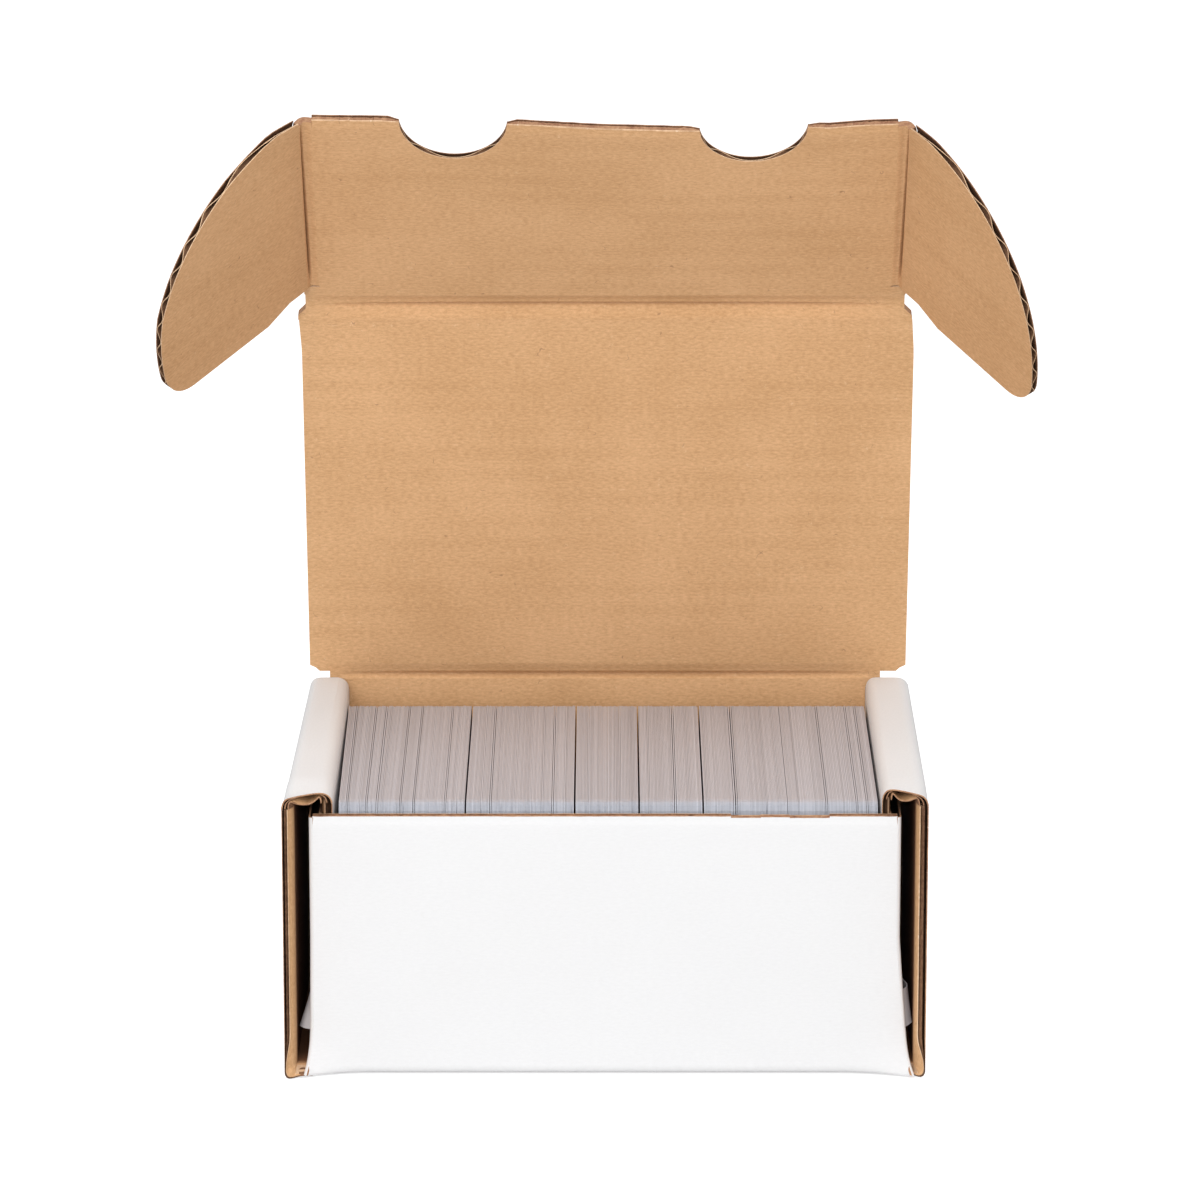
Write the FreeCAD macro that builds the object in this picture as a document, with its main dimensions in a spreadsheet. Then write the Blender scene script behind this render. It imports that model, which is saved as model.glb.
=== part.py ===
import FreeCAD, Part
import math
import os

import Sketcher

# A one-piece corrugated card storage box, folded up and standing open.
#
# The box is cut and creased from one sheet of fluted board. Each flat area of the sheet between two
# creases is a panel here. The side walls are double: an outer wall, a strip rolled over the top and an
# inner wall whose tabs lock into the bottom, with the corner flaps of the front and back held between.
# A narrow slot is left inside each outer wall for the curved ears of the tuck flap.
#
# Frame: X along the row of cards, Y from the front to the back, Z up. The origin is on the table, in
# the middle of the tray. The lid stands open, the tuck flap leans forward and the ears are half folded.

PARTS_FOLDER = "parts"

# Millimetres, and degrees for the folds.
SIZES = {
    "board_thickness": 2.9,
    "liner_thickness": 0.35,
    "medium_thickness": 0.3,
    "flute_pitch": 6.35,
    "flute_crest": 0.8,
    "flute_web": 0.5,
    "crease_band": 2.6,
    "crease_clearance": 0.3,
    "seat_clearance": 0.2,
    "well_length": 129.5,
    "well_depth": 98.5,
    "well_height": 68.5,
    "front_drop": 4.5,
    "corner_radius": 0.9,
    "foot_radius": 1.8,
    "ear_slot": 3.4,
    "wall_overhang": 3.5,
    "roll_skin": 0.7,
    "roll_sag": 0.3,
    "roll_rear_gap": 1.2,
    "roll_rear_corner": 2.5,
    "front_corner_flap": 44.0,
    "rear_corner_flap": 40.0,
    "corner_flap_drop": 0.6,
    "tab_width": 18.0,
    "tab_spacing": 50.0,
    "lid_width": 150.6,
    "lid_clearance": 0.25,
    "lid_rear_corner": 5.5,
    "lid_rear_rise": 2.2,
    "lid_front_corner": 2.1,
    "lid_lean": 14.5,
    "tuck_flap_length": 62.3,
    "tuck_flap_clearance": 0.55,
    "tuck_flap_shoulder": 1.35,
    "tuck_flap_fold": 20.0,
    "thumb_radius": 12.9,
    "thumb_depth": 12.0,
    "thumb_spacing": 72.4,
    "ear_reach": 50.3,
    "ear_drop": 3.0,
    "ear_root_drop": 5.4,
    "ear_root_length": 8.5,
    "ear_root_bevel": 7.5,
    "ear_tip_radius": 8.6,
    "ear_free_edge": 3.0,
    "left_ear_fold": 48.0,
    "right_ear_fold": 52.0,
    "card_corner": 3.175,
    "card_front_gap": 2.2,
    "card_rear_gap": 7.4,
    "card_headroom": 2.1,
    "pack_gap": 0.4,
    "pack_side_gap": 1.5,
    "pack_two_offset": 33.15,
    "pack_width_two": 25.7,
    "pack_width_three": 15.0,
    "pack_width_four": 14.9,
    "pack_width_five": 19.6,
}
PACKS = ("one", "two", "three", "four", "five", "six")
SIDES = {"left": -1, "right": 1}

document = FreeCAD.newDocument("card_box")
sheet = document.addObject("Spreadsheet::Sheet", "Sizes")
for row, (name, value) in enumerate(SIZES.items(), start=1):
    sheet.set(f"A{row}", name)
    sheet.set(f"B{row}", str(value))
    sheet.setAlias(f"B{row}", name)
document.recompute()

# ---------------------------------------------------------------- places worked out from the sizes
# Each is an expression over the sheet, so a panel and what it meets share one formula.
BOARD = "Sizes.board_thickness"
HALF_BOARD = "(Sizes.board_thickness / 2)"
LINER = "Sizes.liner_thickness"
CREASE = "Sizes.crease_clearance"
SEAT = "Sizes.seat_clearance"
HINGE_GAP = f"({HALF_BOARD} + {CREASE})"

INNER_WALL_IN = "(Sizes.well_length / 2)"
INNER_WALL_OUT = f"({INNER_WALL_IN} + {BOARD})"
SLOT_IN = f"({INNER_WALL_OUT} + {BOARD})"
OUTER_WALL_IN = f"({SLOT_IN} + Sizes.ear_slot)"
OUTER_WALL_OUT = f"({OUTER_WALL_IN} + {BOARD})"

FRONT_IN = "(0 - Sizes.well_depth / 2)"
FRONT_OUT = f"({FRONT_IN} - {BOARD})"
WALL_FRONT = f"({FRONT_OUT} - Sizes.wall_overhang)"
BACK_IN = "(Sizes.well_depth / 2)"
BACK_OUT = f"({BACK_IN} + {BOARD})"

ROLL_TOP = f"({BOARD} + Sizes.well_height)"
ROLL_UNDER = f"({ROLL_TOP} - {BOARD})"
ROLL_BUCKLE = f"({ROLL_UNDER} - Sizes.roll_sag)"
FRONT_TOP = f"({ROLL_UNDER} - Sizes.front_drop)"
LID_AXIS_Y = f"({BACK_IN} + {HALF_BOARD})"
LID_AXIS_Z = f"({ROLL_TOP} + Sizes.lid_clearance + {HALF_BOARD})"
LID_HALF = "(Sizes.lid_width / 2)"
LID_ROOT_HALF = f"({LID_HALF} - Sizes.lid_rear_corner)"
LID_REACH = f"({LID_AXIS_Y} - {FRONT_OUT} + Sizes.tuck_flap_clearance + {HALF_BOARD})"
LID_END = f"({LID_REACH} - {HINGE_GAP})"

EAR_AXIS = f"({SLOT_IN} + Sizes.ear_slot / 2)"
FLAP_SIDE = f"({EAR_AXIS} - {HINGE_GAP})"
FLAP_SHOULDER = f"({EAR_AXIS} + Sizes.tuck_flap_shoulder)"
FLAP_SHOULDER_TOP = f"(Sizes.ear_root_drop - {CREASE})"
FLAP_END = "Sizes.tuck_flap_length"
THUMB_HALF = "sqrt(Sizes.thumb_radius ^ 2 - (Sizes.thumb_radius - Sizes.thumb_depth) ^ 2)"
EAR_CENTRE = "(Sizes.ear_drop + Sizes.ear_tip_radius)"
EAR_RUN = "(Sizes.ear_reach - Sizes.ear_free_edge)"
EAR_RADIUS = f"(({EAR_RUN} ^ 2 + ({FLAP_END} - {EAR_CENTRE}) ^ 2) / (2 * {EAR_RUN}))"

FLUTE_WIDE = "(Sizes.flute_pitch - Sizes.flute_crest - 2 * Sizes.flute_web)"
FLUTE_CELL = f"((Sizes.flute_pitch + {FLUTE_WIDE}) / 2)"


def number(expression):
    """The value that an expression over the sheet has now."""
    return float(sheet.evalExpression(expression))


def times(sign, expression):
    """The expression on the side that sign gives, -1 or 1."""
    return f"{sign} * {expression}"


# ---------------------------------------------------------------- how a panel is drawn and cut
def new_body(name):
    """An empty sub-part with its name."""
    body = document.addObject("PartDesign::Body", name)
    body.Label = name
    return body


def origin_item(body, role):
    """A plane or an axis of the body's own origin."""
    return next(item for item in body.Origin.OriginFeatures if item.Role == role)


def attach(feature, body, plane, offset):
    """Lay a sketch or a primitive on an origin plane, moved along the plane's normal."""
    feature.AttachmentSupport = (origin_item(body, plane), "")
    feature.MapMode = "FlatFace"
    feature.setExpression("AttachmentOffset.Base.z", offset)


def arc_between(start, end, radius, turn):
    """The minor arc from start to end: turn is 1 for counterclockwise and -1 for clockwise."""
    chord = end - start
    rise = math.sqrt(max(radius ** 2 - (chord.Length / 2) ** 2, 0))
    normal = FreeCAD.Vector(-chord.y, chord.x, 0).normalize()
    centre = (start + end) / 2 + normal * (turn * rise)
    first, last = (start, end) if turn > 0 else (end, start)
    angles = [math.atan2(point.y - centre.y, point.x - centre.x) for point in (first, last)]
    if angles[1] < angles[0]:
        angles[1] += 2 * math.pi
    circle = Part.Circle(centre, FreeCAD.Vector(0, 0, 1), radius)
    return Part.ArcOfCircle(circle, angles[0], angles[1])


def bind(sketch, constraint, expression):
    """Add a constraint whose value follows an expression."""
    index = sketch.addConstraint(constraint)
    sketch.setExpression(f"Constraints[{index}]", expression)


def draw_loop(sketch, corners):
    """One closed outline. A corner is (x, y), or (x, y, radius, turn) where an arc leaves it."""
    points = [FreeCAD.Vector(number(corner[0]), number(corner[1]), 0) for corner in corners]
    edges = []
    for index, corner in enumerate(corners):
        start = points[index]
        end = points[(index + 1) % len(points)]
        if len(corner) == 2:
            edges.append((sketch.addGeometry(Part.LineSegment(start, end)), 1, 2))
            continue
        radius, turn = corner[2:]
        arc = sketch.addGeometry(arc_between(start, end, number(radius), turn))
        bind(sketch, Sketcher.Constraint("Radius", arc, number(radius)), radius)
        edges.append((arc, 1, 2) if turn > 0 else (arc, 2, 1))
    for index, (edge, first, _) in enumerate(edges):
        before, _, last = edges[index - 1]
        sketch.addConstraint(Sketcher.Constraint("Coincident", before, last, edge, first))
        x, y = corners[index][:2]
        bind(sketch, Sketcher.Constraint("DistanceX", -1, 1, edge, first, number(x)), x)
        bind(sketch, Sketcher.Constraint("DistanceY", -1, 1, edge, first, number(y)), y)


def new_sketch(body, name, plane, offset, loops):
    """A sketch on an origin plane that holds the given closed outlines."""
    sketch = body.newObject("Sketcher::SketchObject", f"{body.Name}_{name}")
    attach(sketch, body, plane, offset)
    for loop in loops:
        draw_loop(sketch, loop)
    return sketch


def pad(body, plane, offset, loops, length, symmetric=False, reverse=False):
    """Extrude outlines to make the body's solid, or add to it."""
    sketch = new_sketch(body, "outline", plane, offset, loops)
    feature = body.newObject("PartDesign::Pad", f"{body.Name}_pad")
    feature.Profile = sketch
    feature.SideType = "Symmetric" if symmetric else "One side"
    feature.Reversed = reverse
    feature.setExpression("Length", length)
    document.recompute()
    return feature


def pocket(body, name, plane, offset, loops, length=None, reverse=False):
    """Cut outlines out of the solid: to a length from the plane, or right through both ways."""
    before = body.Shape.Volume
    sketch = new_sketch(body, name, plane, offset, loops)
    feature = body.newObject("PartDesign::Pocket", f"{body.Name}_{name}_cut")
    feature.Profile = sketch
    feature.Reversed = reverse
    if length is None:
        feature.Type = "ThroughAll"
        feature.SideType = "Symmetric"
    else:
        feature.setExpression("Length", length)
    document.recompute()
    if not body.Shape.Volume < before:
        raise RuntimeError(f"{body.Label}: {name} cuts nothing")
    return feature


def flute_loops(place):
    """One pitch of the fluted medium, as the two hollows beside it, drawn from (along, through)."""
    low = LINER
    low_crest = f"({LINER} + Sizes.medium_thickness)"
    high = f"({BOARD} - {LINER})"
    high_crest = f"({BOARD} - {LINER} - Sizes.medium_thickness)"
    hollows = (("0", low, high_crest), ("(Sizes.flute_pitch / 2)", high, low_crest))
    loops = []
    for middle, base, crest in hollows:
        corners = (
            (f"({middle} - {FLUTE_WIDE} / 2)", base),
            (f"({middle} + {FLUTE_WIDE} / 2)", base),
            (f"({middle} + Sizes.flute_crest / 2)", crest),
            (f"({middle} - Sizes.flute_crest / 2)", crest),
        )
        loops.append([place(along, through) for along, through in corners])
    return loops


def cut_flutes(body, plane, offset, place, axis, span, backwards, length=None, reverse=False):
    """Hollow the board between its liners, one pitch after another along an axis."""
    first = pocket(body, "flute", plane, offset, flute_loops(place), length, reverse)
    pattern = body.newObject("PartDesign::LinearPattern", f"{body.Name}_flutes")
    pattern.Originals = [first]
    pattern.Direction = (origin_item(body, axis), [""])
    pattern.Reversed = backwards
    pattern.Mode = "Spacing"
    pattern.setExpression("Offset", "Sizes.flute_pitch")
    pattern.setExpression("Occurrences", f"max(1; floor(({span} - {FLUTE_CELL}) / Sizes.flute_pitch) + 1)")
    body.Tip = pattern
    document.recompute()


def add_nose(body, plane, start, length):
    """The rounded edge of a panel about the axis of its crease."""
    nose = body.newObject("PartDesign::AdditiveCylinder", f"{body.Name}_nose")
    attach(nose, body, plane, start)
    nose.setExpression("Radius", HALF_BOARD)
    nose.setExpression("Height", length)
    document.recompute()


# ---------------------------------------------------------------- the tray
def make_bottom():
    """The bottom, with a tongue under the front of each ear slot and four slots for the lock tabs."""
    body = new_body("bottom_panel")
    outline = [
        (times(-1, OUTER_WALL_IN), WALL_FRONT),
        (times(-1, SLOT_IN), WALL_FRONT),
        (times(-1, SLOT_IN), FRONT_IN),
        (SLOT_IN, FRONT_IN),
        (SLOT_IN, WALL_FRONT),
        (OUTER_WALL_IN, WALL_FRONT),
        (OUTER_WALL_IN, BACK_IN),
        (times(-1, OUTER_WALL_IN), BACK_IN),
    ]
    pad(body, "XY_Plane", "0", [outline], BOARD)
    first = f"({FRONT_IN} + Sizes.crease_band + {FLUTE_WIDE} / 2)"
    cut_flutes(
        body, "YZ_Plane", "0", lambda along, through: (f"({first} + {along})", through),
        "Y_Axis", f"({BACK_IN} - Sizes.crease_band - {first})", backwards=False,
    )
    slots = []
    for side in SIDES.values():
        for end in (-1, 1):
            near = f"({INNER_WALL_IN} - {SEAT})"
            far = f"({INNER_WALL_OUT} + {SEAT})"
            middle = times(end, "Sizes.tab_spacing / 2")
            low = f"({middle} - Sizes.tab_width / 2 - {SEAT})"
            high = f"({middle} + Sizes.tab_width / 2 + {SEAT})"
            slots.append([
                (times(side, near), low),
                (times(side, far), low),
                (times(side, far), high),
                (times(side, near), high),
            ])
    pocket(body, "lock_slots", "XY_Plane", "0", slots)
    return body


def make_end_panel(name, side, height, top_is_raw):
    """The front or the back, with the rounded crease at its foot. side is -1 for the front."""
    body = new_body(name)
    inner = times(side, "Sizes.well_depth / 2")
    outer = f"({inner} + {side} * {BOARD})"
    profile = [
        (inner, "0"),
        (f"({outer} - {side} * Sizes.foot_radius)", "0", "Sizes.foot_radius", side),
        (outer, "Sizes.foot_radius"),
        (outer, height),
        (inner, height),
    ]
    pad(body, "YZ_Plane", "0", [profile], f"2 * {INNER_WALL_OUT}", symmetric=True)
    top = height if top_is_raw else f"({height} - Sizes.crease_band - {FLUTE_WIDE} / 2)"
    cut_flutes(
        body, "YZ_Plane", "0",
        lambda along, through: (f"({outer} - {side} * {through})", f"({top} - {along})"),
        "Z_Axis", f"({top} - {BOARD} - Sizes.crease_band)", backwards=True,
    )
    return body


def make_outer_wall(label, side):
    """An outer side wall, with upright flutes and the rounded crease at its foot."""
    body = new_body(f"{label}_outer_wall")
    profile = [
        (times(side, OUTER_WALL_IN), "0"),
        (times(side, f"({OUTER_WALL_OUT} - Sizes.foot_radius)"), "0", "Sizes.foot_radius", side),
        (times(side, OUTER_WALL_OUT), "Sizes.foot_radius"),
        (times(side, OUTER_WALL_OUT), ROLL_UNDER),
        (times(side, OUTER_WALL_IN), ROLL_UNDER),
    ]
    length = f"({BACK_OUT} - {WALL_FRONT})"
    pad(body, "XZ_Plane", times(-1, WALL_FRONT), [profile], length, reverse=True)
    cut_flutes(
        body, "XY_Plane", f"({BOARD} + Sizes.crease_band)",
        lambda along, through: (times(side, f"({OUTER_WALL_OUT} - {through})"), f"({WALL_FRONT} + {along})"),
        "Y_Axis", length, backwards=False,
        length=f"{ROLL_UNDER} - {BOARD} - 2 * Sizes.crease_band", reverse=True,
    )
    return body


def make_inner_wall(label, side):
    """An inner side wall, whose two tabs stand in the slots of the bottom."""
    body = new_body(f"{label}_inner_wall")
    front = f"({FRONT_IN} + {SEAT})"
    back = f"({BACK_IN} - {SEAT})"
    outline = [(back, BOARD), (back, ROLL_UNDER), (front, ROLL_UNDER), (front, BOARD)]
    for end in (-1, 1):
        middle = times(end, "Sizes.tab_spacing / 2")
        low = f"({middle} - Sizes.tab_width / 2)"
        high = f"({middle} + Sizes.tab_width / 2)"
        outline += [(low, BOARD), (low, SEAT), (high, SEAT), (high, BOARD)]
    start = INNER_WALL_IN if side > 0 else times(-1, INNER_WALL_OUT)
    pad(body, "YZ_Plane", start, [outline], BOARD)
    cut_flutes(
        body, "XY_Plane", "0",
        lambda along, through: (times(side, f"({INNER_WALL_IN} + {through})"), f"({front} + {along})"),
        "Y_Axis", f"({back} - {front})", backwards=False,
        length=f"{ROLL_UNDER} - Sizes.crease_band", reverse=True,
    )
    return body


def make_roll_strip(label, side):
    """The strip over the top of a side wall. Its inner liner has buckled down over the corner flaps.

    Only the outer liner and the flattened medium pass over the ear slot, so the ear has room below it.
    """
    body = new_body(f"{label}_roll_strip")
    buckle = f"(({INNER_WALL_OUT} + {SLOT_IN}) / 2)"
    skin = "Sizes.roll_skin"
    skin_under = f"({ROLL_TOP} - {skin})"
    arch = [
        (times(side, OUTER_WALL_OUT), ROLL_UNDER, BOARD, side),
        (times(side, OUTER_WALL_IN), ROLL_TOP),
        (times(side, INNER_WALL_OUT), ROLL_TOP, BOARD, side),
        (times(side, INNER_WALL_IN), ROLL_UNDER),
        (times(side, INNER_WALL_OUT), ROLL_UNDER),
        (times(side, buckle), ROLL_BUCKLE),
        (times(side, SLOT_IN), skin_under),
        (times(side, OUTER_WALL_IN), skin_under),
        (times(side, OUTER_WALL_IN), ROLL_UNDER),
    ]
    hollow = [
        (times(side, INNER_WALL_OUT), skin_under),
        (times(side, INNER_WALL_OUT), f"({ROLL_UNDER} + {skin})"),
        (times(side, buckle), f"({ROLL_BUCKLE} + {skin})"),
        (times(side, f"({SLOT_IN} - {skin})"), skin_under),
    ]
    rear = f"({BACK_IN} - Sizes.roll_rear_gap)"
    pad(body, "XZ_Plane", times(-1, WALL_FRONT), [arch, hollow], f"({rear} - {WALL_FRONT})", reverse=True)
    inner = f"({INNER_WALL_IN} - {BOARD})"
    front_relief = [
        (times(side, inner), f"({WALL_FRONT} - {BOARD})"),
        (times(side, OUTER_WALL_IN), f"({WALL_FRONT} - {BOARD})"),
        (times(side, OUTER_WALL_IN), FRONT_OUT),
        (times(side, inner), FRONT_OUT),
    ]
    rear_corner = [
        (times(side, f"({INNER_WALL_IN} + Sizes.roll_rear_corner)"), rear),
        (times(side, INNER_WALL_IN), f"({rear} - Sizes.roll_rear_corner)"),
        (times(side, inner), f"({rear} - Sizes.roll_rear_corner)"),
        (times(side, inner), f"({rear} + {BOARD})"),
        (times(side, f"({INNER_WALL_IN} + Sizes.roll_rear_corner)"), f"({rear} + {BOARD})"),
    ]
    pocket(body, "ends", "XY_Plane", ROLL_UNDER, [front_relief, rear_corner])
    return body


def make_corner_flap(name, side, end, length, top):
    """A corner flap, bent round from the front (end -1) or the back (end 1) into the side wall."""
    body = new_body(name)
    crease = times(end, "Sizes.well_depth / 2")
    outer = f"({crease} + {end} * {BOARD})"
    tip = f"({crease} - {end} * {length})"
    profile = [
        (times(side, INNER_WALL_OUT), outer),
        (times(side, f"({SLOT_IN} - Sizes.corner_radius)"), outer, "Sizes.corner_radius", -side * end),
        (times(side, SLOT_IN), f"({outer} - {end} * Sizes.corner_radius)"),
        (times(side, SLOT_IN), tip),
        (times(side, INNER_WALL_OUT), tip),
    ]
    foot = f"({BOARD} + {CREASE})"
    pad(body, "XY_Plane", foot, [profile], f"({top} - {foot})")
    start = f"({end} * (Sizes.well_depth / 2 - Sizes.crease_band))"
    cut_flutes(
        body, "XZ_Plane", times(-1, start),
        lambda along, through: (times(side, f"({SLOT_IN} - {through})"), f"({top} - {along})"),
        "Z_Axis", f"({top} - {foot})", backwards=True,
        length=length, reverse=end < 0,
    )
    return body


# ---------------------------------------------------------------- the lid, the tuck flap and the ears
def hinged(base, turn_axis, angle, carrier=""):
    """The placement of a part folded about its own axis, on the table or on the part that carries it."""
    x, y, z = base
    spot = f"create(<<vector>>; {x}; {y}; {z})"
    fold = f"create(<<rotation>>; create(<<vector>>; {turn_axis}); {angle})"
    return f"{carrier}create(<<placement>>; {spot}; {fold})"


def make_lid():
    """The lid. Its own Z runs up from the rear crease and its inner face is towards -Y."""
    body = new_body("lid")
    front_half = f"({LID_HALF} - Sizes.lid_front_corner)"
    front_side = f"({LID_END} - Sizes.lid_front_corner)"
    outline = [
        (times(-1, LID_ROOT_HALF), "0"),
        (LID_ROOT_HALF, "0"),
        (LID_HALF, "Sizes.lid_rear_rise"),
        (LID_HALF, front_side),
        (front_half, LID_END),
        (times(-1, front_half), LID_END),
        (times(-1, LID_HALF), front_side),
        (times(-1, LID_HALF), "Sizes.lid_rear_rise"),
    ]
    pad(body, "XZ_Plane", "0", [outline], BOARD, symmetric=True)
    add_nose(body, "YZ_Plane", times(-1, LID_ROOT_HALF), f"2 * {LID_ROOT_HALF}")
    first = f"(Sizes.crease_band + {FLUTE_WIDE} / 2)"
    cut_flutes(
        body, "YZ_Plane", "0", lambda along, through: (f"({HALF_BOARD} - {through})", f"({first} + {along})"),
        "Z_Axis", f"({LID_END} - Sizes.crease_band - {first})", backwards=False,
    )
    body.setExpression("Placement", hinged(("0", LID_AXIS_Y, LID_AXIS_Z), "1; 0; 0", "Sizes.lid_lean"))
    return body


def make_tuck_flap():
    """The tuck flap, with two half-round thumb notches in its free edge."""
    body = new_body("tuck_flap")
    outline = [
        (times(-1, FLAP_SHOULDER), "0"),
        (FLAP_SHOULDER, "0"),
        (FLAP_SHOULDER, FLAP_SHOULDER_TOP),
        (FLAP_SIDE, FLAP_SHOULDER_TOP),
        (FLAP_SIDE, FLAP_END),
    ]
    for side in (1, -1):
        middle = times(side, "Sizes.thumb_spacing / 2")
        outline.append((f"({middle} + {THUMB_HALF})", FLAP_END, "Sizes.thumb_radius", -1))
        outline.append((f"({middle} - {THUMB_HALF})", FLAP_END))
    outline += [
        (times(-1, FLAP_SIDE), FLAP_END),
        (times(-1, FLAP_SIDE), FLAP_SHOULDER_TOP),
        (times(-1, FLAP_SHOULDER), FLAP_SHOULDER_TOP),
    ]
    pad(body, "XZ_Plane", "0", [outline], BOARD, symmetric=True)
    add_nose(body, "YZ_Plane", times(-1, FLAP_SHOULDER), f"2 * {FLAP_SHOULDER}")
    cut_flutes(
        body, "YZ_Plane", "0", lambda along, through: (f"({HALF_BOARD} - {through})", f"({FLAP_END} - {along})"),
        "Z_Axis", f"({FLAP_END} - Sizes.crease_band)", backwards=True,
    )
    place = hinged(("0", "0", LID_REACH), "1; 0; 0", "Sizes.tuck_flap_fold", carrier="lid.Placement * ")
    body.setExpression("Placement", place)
    return body


def make_ear(label, side):
    """A curved ear of the tuck flap. Its own Z runs along the crease and X out to its tip."""
    body = new_body(f"{label}_ear")
    reach = "Sizes.ear_reach"
    tip = "Sizes.ear_tip_radius"
    root = "Sizes.ear_root_length"
    outline = [
        ("0", "Sizes.ear_root_drop"),
        (times(side, root), "Sizes.ear_root_drop"),
        (times(side, f"({root} + Sizes.ear_root_bevel)"), "Sizes.ear_drop"),
        (times(side, f"({reach} - {tip})"), "Sizes.ear_drop", tip, side),
        (times(side, reach), EAR_CENTRE, EAR_RADIUS, side),
        (times(side, "Sizes.ear_free_edge"), FLAP_END),
        ("0", FLAP_END),
    ]
    pad(body, "XZ_Plane", "0", [outline], BOARD, symmetric=True)
    add_nose(body, "XY_Plane", "Sizes.ear_root_drop", f"({FLAP_END} - Sizes.ear_root_drop)")
    cut_flutes(
        body, "YZ_Plane", times(side, "Sizes.crease_band"),
        lambda along, through: (f"({HALF_BOARD} - {through})", f"({FLAP_END} - {along})"),
        "Z_Axis", f"({FLAP_END} - Sizes.ear_drop)", backwards=True,
        length=reach, reverse=side > 0,
    )
    place = hinged(
        (times(side, EAR_AXIS), "0", "0"), "0; 0; 1", f"{-side} * Sizes.{label}_ear_fold",
        carrier="tuck_flap.Placement * ",
    )
    body.setExpression("Placement", place)
    return body


# ---------------------------------------------------------------- the cards
def make_card_pack(index):
    """One pack of cards, standing on its long edges. The first and the last reach to the side walls."""
    body = new_body(f"card_pack_{PACKS[index]}")
    front = f"({FRONT_IN} + Sizes.card_front_gap)"
    back = f"({BACK_IN} - Sizes.card_rear_gap)"
    top = f"({ROLL_UNDER} - Sizes.card_headroom)"
    corner = "Sizes.card_corner"
    card = [
        (f"({front} + {corner})", BOARD),
        (f"({back} - {corner})", BOARD, corner, 1),
        (back, f"({BOARD} + {corner})"),
        (back, f"({top} - {corner})", corner, 1),
        (f"({back} - {corner})", top),
        (f"({front} + {corner})", top, corner, 1),
        (front, f"({top} - {corner})"),
        (front, f"({BOARD} + {corner})", corner, 1),
    ]
    widths = [f"Sizes.pack_width_{pack}" for pack in PACKS[1:-1]]
    before = " + ".join(widths[:index - 1] + [f"{index - 1} * Sizes.pack_gap"])
    start = f"({before} - Sizes.pack_two_offset)"
    wall = f"({INNER_WALL_IN} - Sizes.pack_side_gap)"
    if index == 0:
        start = times(-1, wall)
        width = f"({wall} - Sizes.pack_two_offset - Sizes.pack_gap)"
    elif index < len(PACKS) - 1:
        width = widths[index - 1]
    else:
        width = f"({wall} - {start})"
    pad(body, "YZ_Plane", start, [card], width)
    return body


# ---------------------------------------------------------------- the whole box
bodies = [
    make_bottom(),
    make_end_panel("front_panel", -1, FRONT_TOP, top_is_raw=True),
    make_end_panel("back_panel", 1, f"({LID_AXIS_Z} - {HINGE_GAP})", top_is_raw=False),
]
for label, side in SIDES.items():
    bodies.append(make_outer_wall(label, side))
    bodies.append(make_inner_wall(label, side))
    bodies.append(make_roll_strip(label, side))
    front_top = f"({FRONT_TOP} - Sizes.corner_flap_drop)"
    bodies.append(make_corner_flap(f"{label}_front_corner_flap", side, -1, "Sizes.front_corner_flap", front_top))
    bodies.append(make_corner_flap(f"{label}_rear_corner_flap", side, 1, "Sizes.rear_corner_flap", ROLL_BUCKLE))
bodies.append(make_lid())
bodies.append(make_tuck_flap())
for label, side in SIDES.items():
    bodies.append(make_ear(label, side))
for index in range(len(PACKS)):
    bodies.append(make_card_pack(index))
document.recompute()

for item in document.Objects:
    if "Invalid" in item.State or "Error" in item.State:
        raise RuntimeError(f"{item.Name} failed: {item.State}")
for body in bodies:
    if body.Shape.isNull() or not body.Shape.isValid() or len(body.Shape.Solids) != 1:
        raise RuntimeError(f"{body.Label} is not one sound solid")

os.makedirs(PARTS_FOLDER, exist_ok=True)
for body in bodies:
    body.Shape.exportStep(os.path.join(PARTS_FOLDER, f"{body.Label}.step"))
    box = body.Shape.BoundBox
    print(f"{body.Label}: volume {body.Shape.Volume:.0f} mm3, z {box.ZMin:.2f} to {box.ZMax:.2f}")
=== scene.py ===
# %% [markdown]
# This is a storage box for small cards. It is folded from one sheet of corrugated board that is white
# outside and plain brown kraft inside. The solids of every panel, already in the right place and joined
# by hinges, come from the frame. This lesson gives each panel its real layers: two thin liners with a
# wavy medium between them, cut edges that show the waves, and creases where the board is pressed flat.

# %% Load the frame
import math
import random

import bpy
from mathutils import Matrix, Vector, noise


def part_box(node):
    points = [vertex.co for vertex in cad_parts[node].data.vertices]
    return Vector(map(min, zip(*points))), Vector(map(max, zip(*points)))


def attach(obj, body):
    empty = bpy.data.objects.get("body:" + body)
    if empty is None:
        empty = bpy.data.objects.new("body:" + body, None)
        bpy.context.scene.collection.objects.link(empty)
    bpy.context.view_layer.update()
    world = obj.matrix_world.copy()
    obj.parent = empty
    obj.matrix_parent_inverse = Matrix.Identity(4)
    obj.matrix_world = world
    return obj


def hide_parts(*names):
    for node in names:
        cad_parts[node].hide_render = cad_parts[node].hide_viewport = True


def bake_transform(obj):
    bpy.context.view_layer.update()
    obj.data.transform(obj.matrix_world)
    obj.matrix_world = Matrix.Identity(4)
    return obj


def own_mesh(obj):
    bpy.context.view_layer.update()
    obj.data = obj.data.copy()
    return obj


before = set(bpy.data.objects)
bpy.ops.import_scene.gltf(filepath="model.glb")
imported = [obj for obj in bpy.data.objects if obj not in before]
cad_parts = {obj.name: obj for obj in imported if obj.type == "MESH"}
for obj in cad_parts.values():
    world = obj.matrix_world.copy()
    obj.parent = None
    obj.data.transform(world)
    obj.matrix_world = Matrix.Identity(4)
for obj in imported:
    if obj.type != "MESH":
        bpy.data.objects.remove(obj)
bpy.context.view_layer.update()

print("panels and packs in the frame:", len(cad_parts))

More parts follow.
